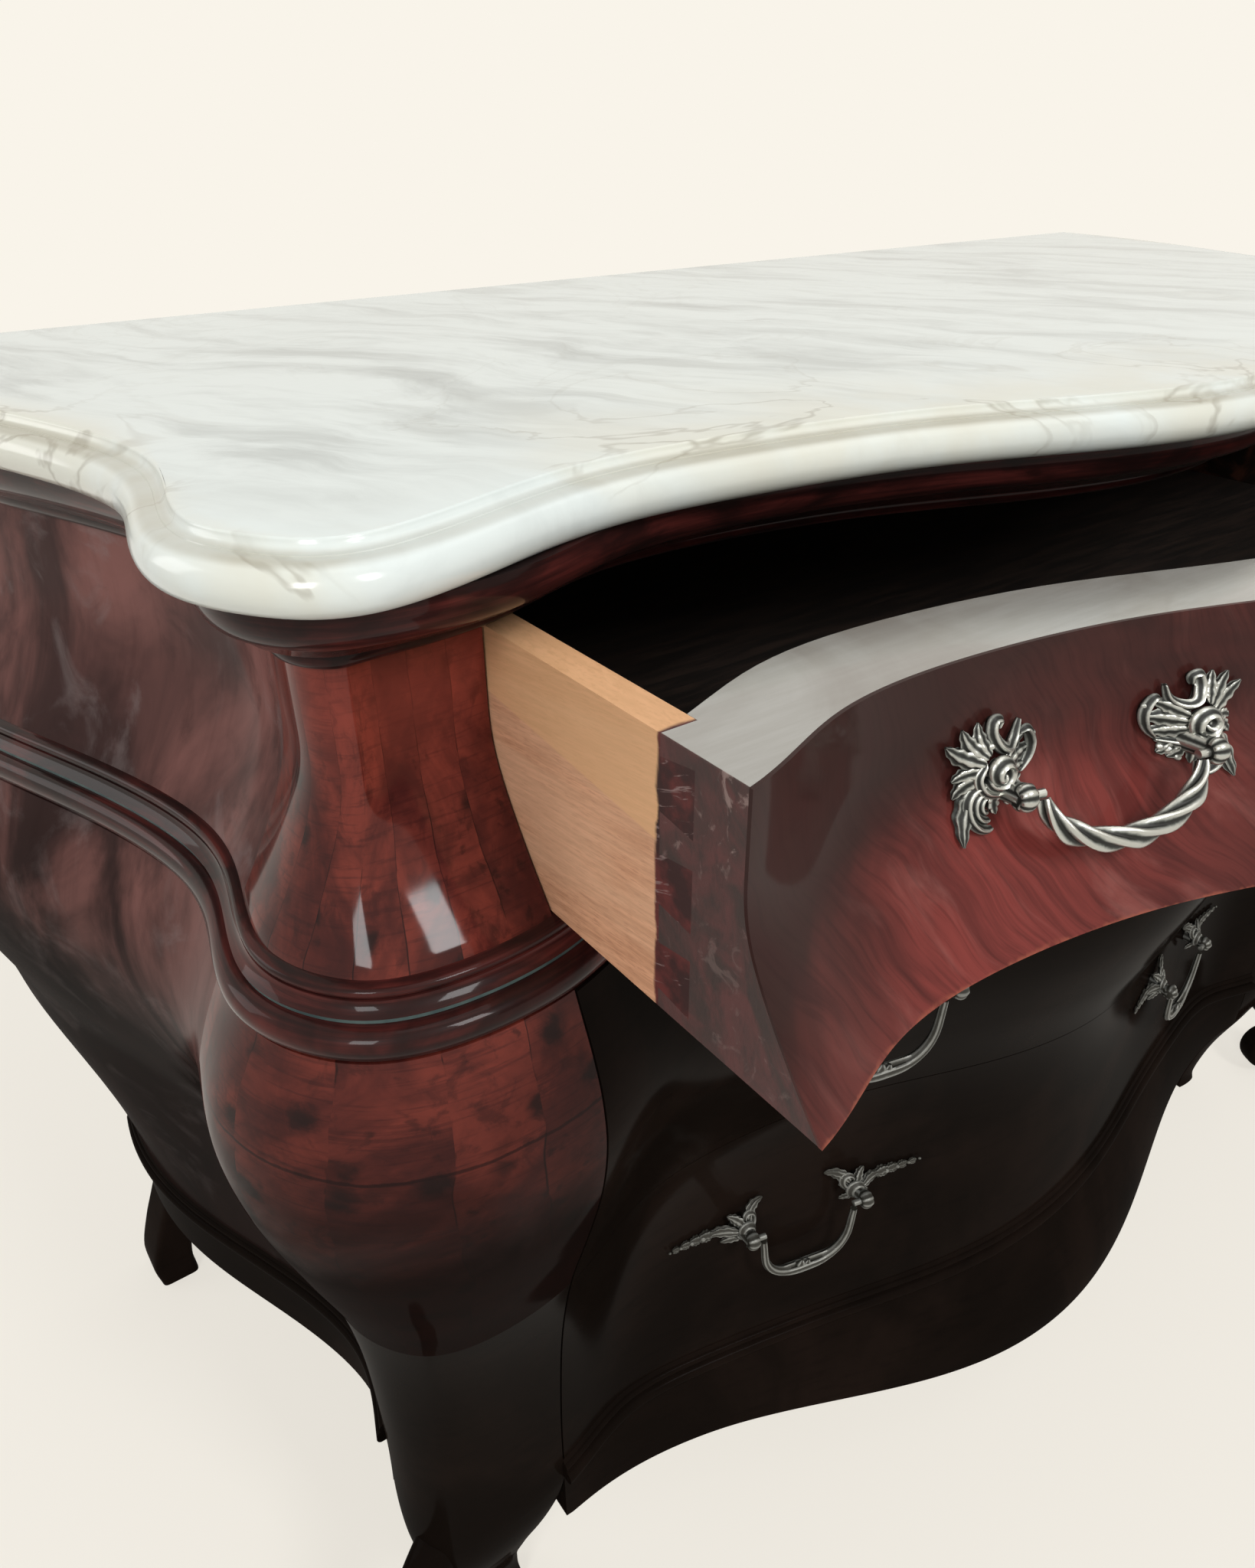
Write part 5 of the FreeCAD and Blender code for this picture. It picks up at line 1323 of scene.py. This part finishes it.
class CHEST_OT_mouldings(bpy.types.Operator):
    """Top, waist and base mouldings, and the inlaid line"""
    bl_idname = "chest.mouldings"
    bl_label = "Mouldings"

    def execute(self, context):
        add_moulding("top_moulding", top_profile(), float(lining(UPPER_TOP)))
        waist, groove = waist_profile()
        add_moulding("waist_moulding", waist, -SIDE_WALL)
        line = np.array([(groove + INLAY_PLAY, INLAY_OUT + INLAY_PROUD),
                         (groove + INLAY_H - INLAY_PLAY, INLAY_OUT + INLAY_PROUD)])
        line = moulding(line, INLAY_OUT - INLAY_DEPTH, span(0.0, LAST))
        make_piece("waist_inlay_line", [line], "inlay_line", node="waist_inlay")
        top = LOWER_BOTTOM - REVEAL
        front = moulding(base_profile(top), float(lining(top)) - REVEAL, span(DRAWER_END, LAST - DRAWER_END))
        make_piece("base_moulding_front", [front], "dark_polish_and_shade")
        side = moulding(base_profile(SIDE_BOTTOM), float(lining(SIDE_BOTTOM)), span(side_stop(), POST_SIDE))
        carcass_pair("base_moulding", [side], "dark_polish_and_shade")
        return {"FINISHED"}


class CHEST_OT_posts(bpy.types.Operator):
    """Corner posts: the coved neck above and the bulb below"""
    bl_idname = "chest.posts"
    bl_label = "Corner posts"

    def execute(self, context):
        upper, lower = np.linspace(STAGE_BOTTOM, UPPER_TOP, 40), np.linspace(MIDDLE_BOTTOM, BODY_TOP, 60)
        carcass_pair("upper_post", [post_shell(upper, cove)], "burl_upper")
        carcass_pair("lower_post", [post_shell(lower, swell)], "burl_lower")
        return {"FINISHED"}


class CHEST_OT_sides(bpy.types.Operator):
    """Side panels of both stages"""
    bl_idname = "chest.sides"
    bl_label = "Sides"

    def execute(self, context):
        upper, lower = np.linspace(STAGE_BOTTOM, UPPER_TOP, 36), np.linspace(SIDE_BOTTOM, BODY_TOP, 70)
        for name, z, profile in (("upper_side", upper, cove), ("lower_side", lower, swell)):
            carcass_pair(name, [wall(z, profile(z), lining(z), span(0.0, POST_SIDE))], "clouded_veneer")
        return {"FINISHED"}


class CHEST_OT_veneers(bpy.types.Operator):
    """Veneers over the three drawer fronts"""
    bl_idname = "chest.veneers"
    bl_label = "Drawer veneers"

    def execute(self, context):
        for name, pull in PULLS.items():
            # the lower drawers' veneers take the near-black polish, partly painted shade
            look = "crotch_veneer" if name == "upper" else "dark_polish_and_shade"
            make_piece(name + "_front_veneer", [veneer_shell(name + "_drawer_front", pull.profile)], look,
                       body=name + "_drawer", node=None)
        return {"FINISHED"}


class CHEST_OT_joinery(bpy.types.Operator):
    """Finishes on the drawer boxes, frames, guides and back"""
    bl_idname = "chest.joinery"
    bl_label = "Joinery finishes"

    def execute(self, context):
        for name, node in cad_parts.items():
            if name.endswith("drawer_front"):
                look = "drawer_front_core"
            elif name.startswith("upper_drawer_side"):
                look = "beech_stained_end"
            # painted shade: the top drawer's back and bottom take the dark frame wood, not beech
            elif "_drawer_" in name and name not in ("upper_drawer_back", "upper_drawer_bottom"):
                look = "beech"
            else:
                look = "frame_wood"
            node.data.materials.clear()
            node.data.materials.append(finish(look))
        return {"FINISHED"}


class CHEST_OT_aprons(bpy.types.Operator):
    """Front and side aprons"""
    bl_idname = "chest.aprons"
    bl_label = "Aprons"

    def execute(self, context):
        make_piece("apron_front", [apron_shell()], "dark_polish_and_shade")
        z = np.linspace(SIDE_APRON_BOTTOM, SIDE_APRON_TOP, 12)
        side = wall(z, swell(z), swell(z) - SIDE_WALL, span(side_stop(), POST_SIDE))
        carcass_pair("apron", [side], "dark_polish_and_shade")
        return {"FINISHED"}


class CHEST_OT_legs(bpy.types.Operator):
    """Scroll-footed front legs and swept rear legs"""
    bl_idname = "chest.legs"
    bl_label = "Legs"

    def execute(self, context):
        carcass_pair("front_leg", [leg_shell(), scroll_shell()], "dark_polish_and_shade")
        carcass_pair("rear_leg", rear_leg_shells(), "dark_polish_and_shade")
        return {"FINISHED"}


class CHEST_OT_pulls(bpy.types.Operator):
    """Cast plates, posts and swinging bails"""
    bl_idname = "chest.pulls"
    bl_label = "Pulls"

    def execute(self, context):
        for name in PULLS:
            make_piece(name + "_pull_plates", plates_shells(name), "antique_silver", name + "_drawer",
                       name + "_drawer_pull_plates")
            for side, sign in (("left", -1), ("right", 1)):
                bail = name + "_bail_" + side
                make_piece(bail, bail_shells(name, sign), "antique_silver", bail,
                           name + "_drawer_bail_" + side)
        return {"FINISHED"}


# Camera: place in metres, then heading right of +Y, dip and roll in degrees.
CAMERA_PLACE = (-0.6625, -0.5361, 1.0099)
CAMERA_HEADING, CAMERA_DIP, CAMERA_ROLL = 35.67, 31.03, 0.46
IMAGE_HEIGHT = 2048.0
FOCAL_PIXELS = 1500.0
AXIS_BELOW_CENTRE = 25.0
SENSOR = 36.0
FLOOR_REACH, FLOOR_FADE, FLOOR_SIDES, FLOOR_GLOW = 2.6, 0.9, 96, 0.7
# Area lights: place, target, width and height in metres, and share of a window's power.
LAMPS = {"window": ((-2.47, -1.71, 2.39), (-0.5, -0.15, 0.7), (0.8, 1.0), 1.0),
         "second_window": ((-0.01, -2.35, 2.70), (-0.5, -0.15, 0.7), (0.6, 1.0), 1.0),
         "soft_box": ((0.6, -0.2, 3.2), (0.0, 0.1, 0.8), (2.4, 2.4), 0.4),
         "far_window": ((-2.4, 1.6, 1.8), (-0.6, 0.2, 0.6), (1.2, 1.4), 0.3)}


def link_new(name, data):
    """A new object in the scene."""
    made = bpy.data.objects.new(name, data)
    bpy.context.scene.collection.objects.link(made)
    return made


class CHEST_OT_stage(bpy.types.Operator):
    """Pale floor, soft light and the camera"""
    bl_idname = "chest.stage"
    bl_label = "Stage"

    def execute(self, context):
        self.floor(context.scene.chest_stage)
        self.light(context.scene, context.scene.chest_stage)
        self.camera(context.scene)
        return {"FINISHED"}

    def floor(self, stage):
        """Round floor in the backdrop's colour that keeps a soft shadow and fades out."""
        material = bpy.data.materials.new("floor")
        f = Shader(material)
        matt = f.node("ShaderNodeBsdfDiffuse", None, {"Color": stage.paper})
        glow = f.node("ShaderNodeEmission", None, {"Color": stage.paper, "Strength": 1.0})
        clear = f.node("ShaderNodeBsdfTransparent")
        x, y, _ = f.split(f.place())
        fade = f.step((x * x + y * y) ** 0.5, FLOOR_FADE, FLOOR_REACH)
        f.close(f.blend(fade, f.blend(f.seen() * FLOOR_GLOW, matt, glow), clear))
        turn = np.linspace(0.0, 2.0 * np.pi, FLOOR_SIDES, endpoint=False)
        rim = np.column_stack([circle(turn) * FLOOR_REACH, np.zeros(FLOOR_SIDES)])
        mesh = bpy.data.meshes.new("floor")
        mesh.from_pydata(rim.tolist(), [], [list(range(FLOOR_SIDES))])
        mesh.materials.append(material)
        link_new("floor", mesh)

    def light(self, scene, stage):
        """Even light all round, two tall windows before the chest, a soft box above and a
        weak window behind; the camera sees the plain backdrop."""
        scene.world = bpy.data.worlds.new("room")
        f = Shader(scene.world, "ShaderNodeOutputWorld")
        room = f.node("ShaderNodeBackground", None, {"Color": (1.0, 1.0, 1.0), "Strength": stage.fill})
        paper = f.node("ShaderNodeBackground", None, {"Color": stage.paper})
        f.close(f.blend(f.seen(), room, paper))
        for name, (place, target, size, share) in LAMPS.items():
            lamp = bpy.data.lights.new(name, "AREA")
            lamp.shape, lamp.size, lamp.size_y = "RECTANGLE", *size
            lamp.energy = stage.window * share
            made = link_new(name, lamp)
            made.location = place
            made.rotation_euler = (Vector(target) - Vector(place)).to_track_quat("-Z", "Y").to_euler()

    def camera(self, scene):
        """Camera by its heading, dip and roll, with its lens from the focal length in pixels."""
        heading, dip = math.radians(CAMERA_HEADING), math.radians(CAMERA_DIP)
        ahead = Vector((math.sin(heading) * math.cos(dip), math.cos(heading) * math.cos(dip), -math.sin(dip)))
        right = Vector((math.cos(heading), -math.sin(heading), 0.0))
        right = Matrix.Rotation(math.radians(CAMERA_ROLL), 3, ahead) @ right
        turn = Matrix((right, right.cross(ahead), -ahead)).transposed().to_4x4()
        lens = bpy.data.cameras.new("camera")
        lens.sensor_fit = "VERTICAL"
        lens.sensor_height = SENSOR
        lens.lens = FOCAL_PIXELS / IMAGE_HEIGHT * SENSOR
        lens.shift_y = AXIS_BELOW_CENTRE / IMAGE_HEIGHT
        lens.clip_start = 0.01
        scene.camera = link_new("camera", lens)
        scene.camera.matrix_world = Matrix.Translation(CAMERA_PLACE) @ turn
        scene.view_settings.view_transform = "Standard"


class CHEST_PT_panel(bpy.types.Panel):
    """All steps in the order in which they are done"""
    bl_idname = "CHEST_PT_panel"
    bl_label = "Bombe chest"
    bl_space_type = "VIEW_3D"
    bl_region_type = "UI"
    bl_category = "Chest"

    def draw(self, context):
        for step in STEPS:
            self.layout.operator(step.bl_idname, text=step.bl_label)
        for group in GROUPS:
            settings = getattr(context.scene, group)
            for name in settings.bl_rna.properties.keys():
                if name not in ("rna_type", "name"):
                    self.layout.prop(settings, name)


STEPS = (CHEST_OT_joinery, CHEST_OT_marble, CHEST_OT_mouldings, CHEST_OT_posts, CHEST_OT_sides,
         CHEST_OT_veneers, CHEST_OT_aprons, CHEST_OT_legs, CHEST_OT_pulls, CHEST_OT_stage)
GROUPS = {"chest_finish": CHEST_PG_finish, "chest_size": CHEST_PG_size, "chest_stage": CHEST_PG_stage}
CLASSES = (*GROUPS.values(), *STEPS, CHEST_PT_panel)


def register():
    """Registers the classes and hangs the settings on the scene."""
    for one in CLASSES:
        bpy.utils.register_class(one)
    for name, group in GROUPS.items():
        setattr(bpy.types.Scene, name, bpy.props.PointerProperty(type=group))


def unregister():
    """Takes back all that register did."""
    for name in GROUPS:
        delattr(bpy.types.Scene, name)
    for one in reversed(CLASSES):
        bpy.utils.unregister_class(one)


def main():
    """Makes every piece in order."""
    register()
    for step in STEPS:
        group, name = step.bl_idname.split(".")
        getattr(getattr(bpy.ops, group), name)()


if __name__ == "__main__":
    main()
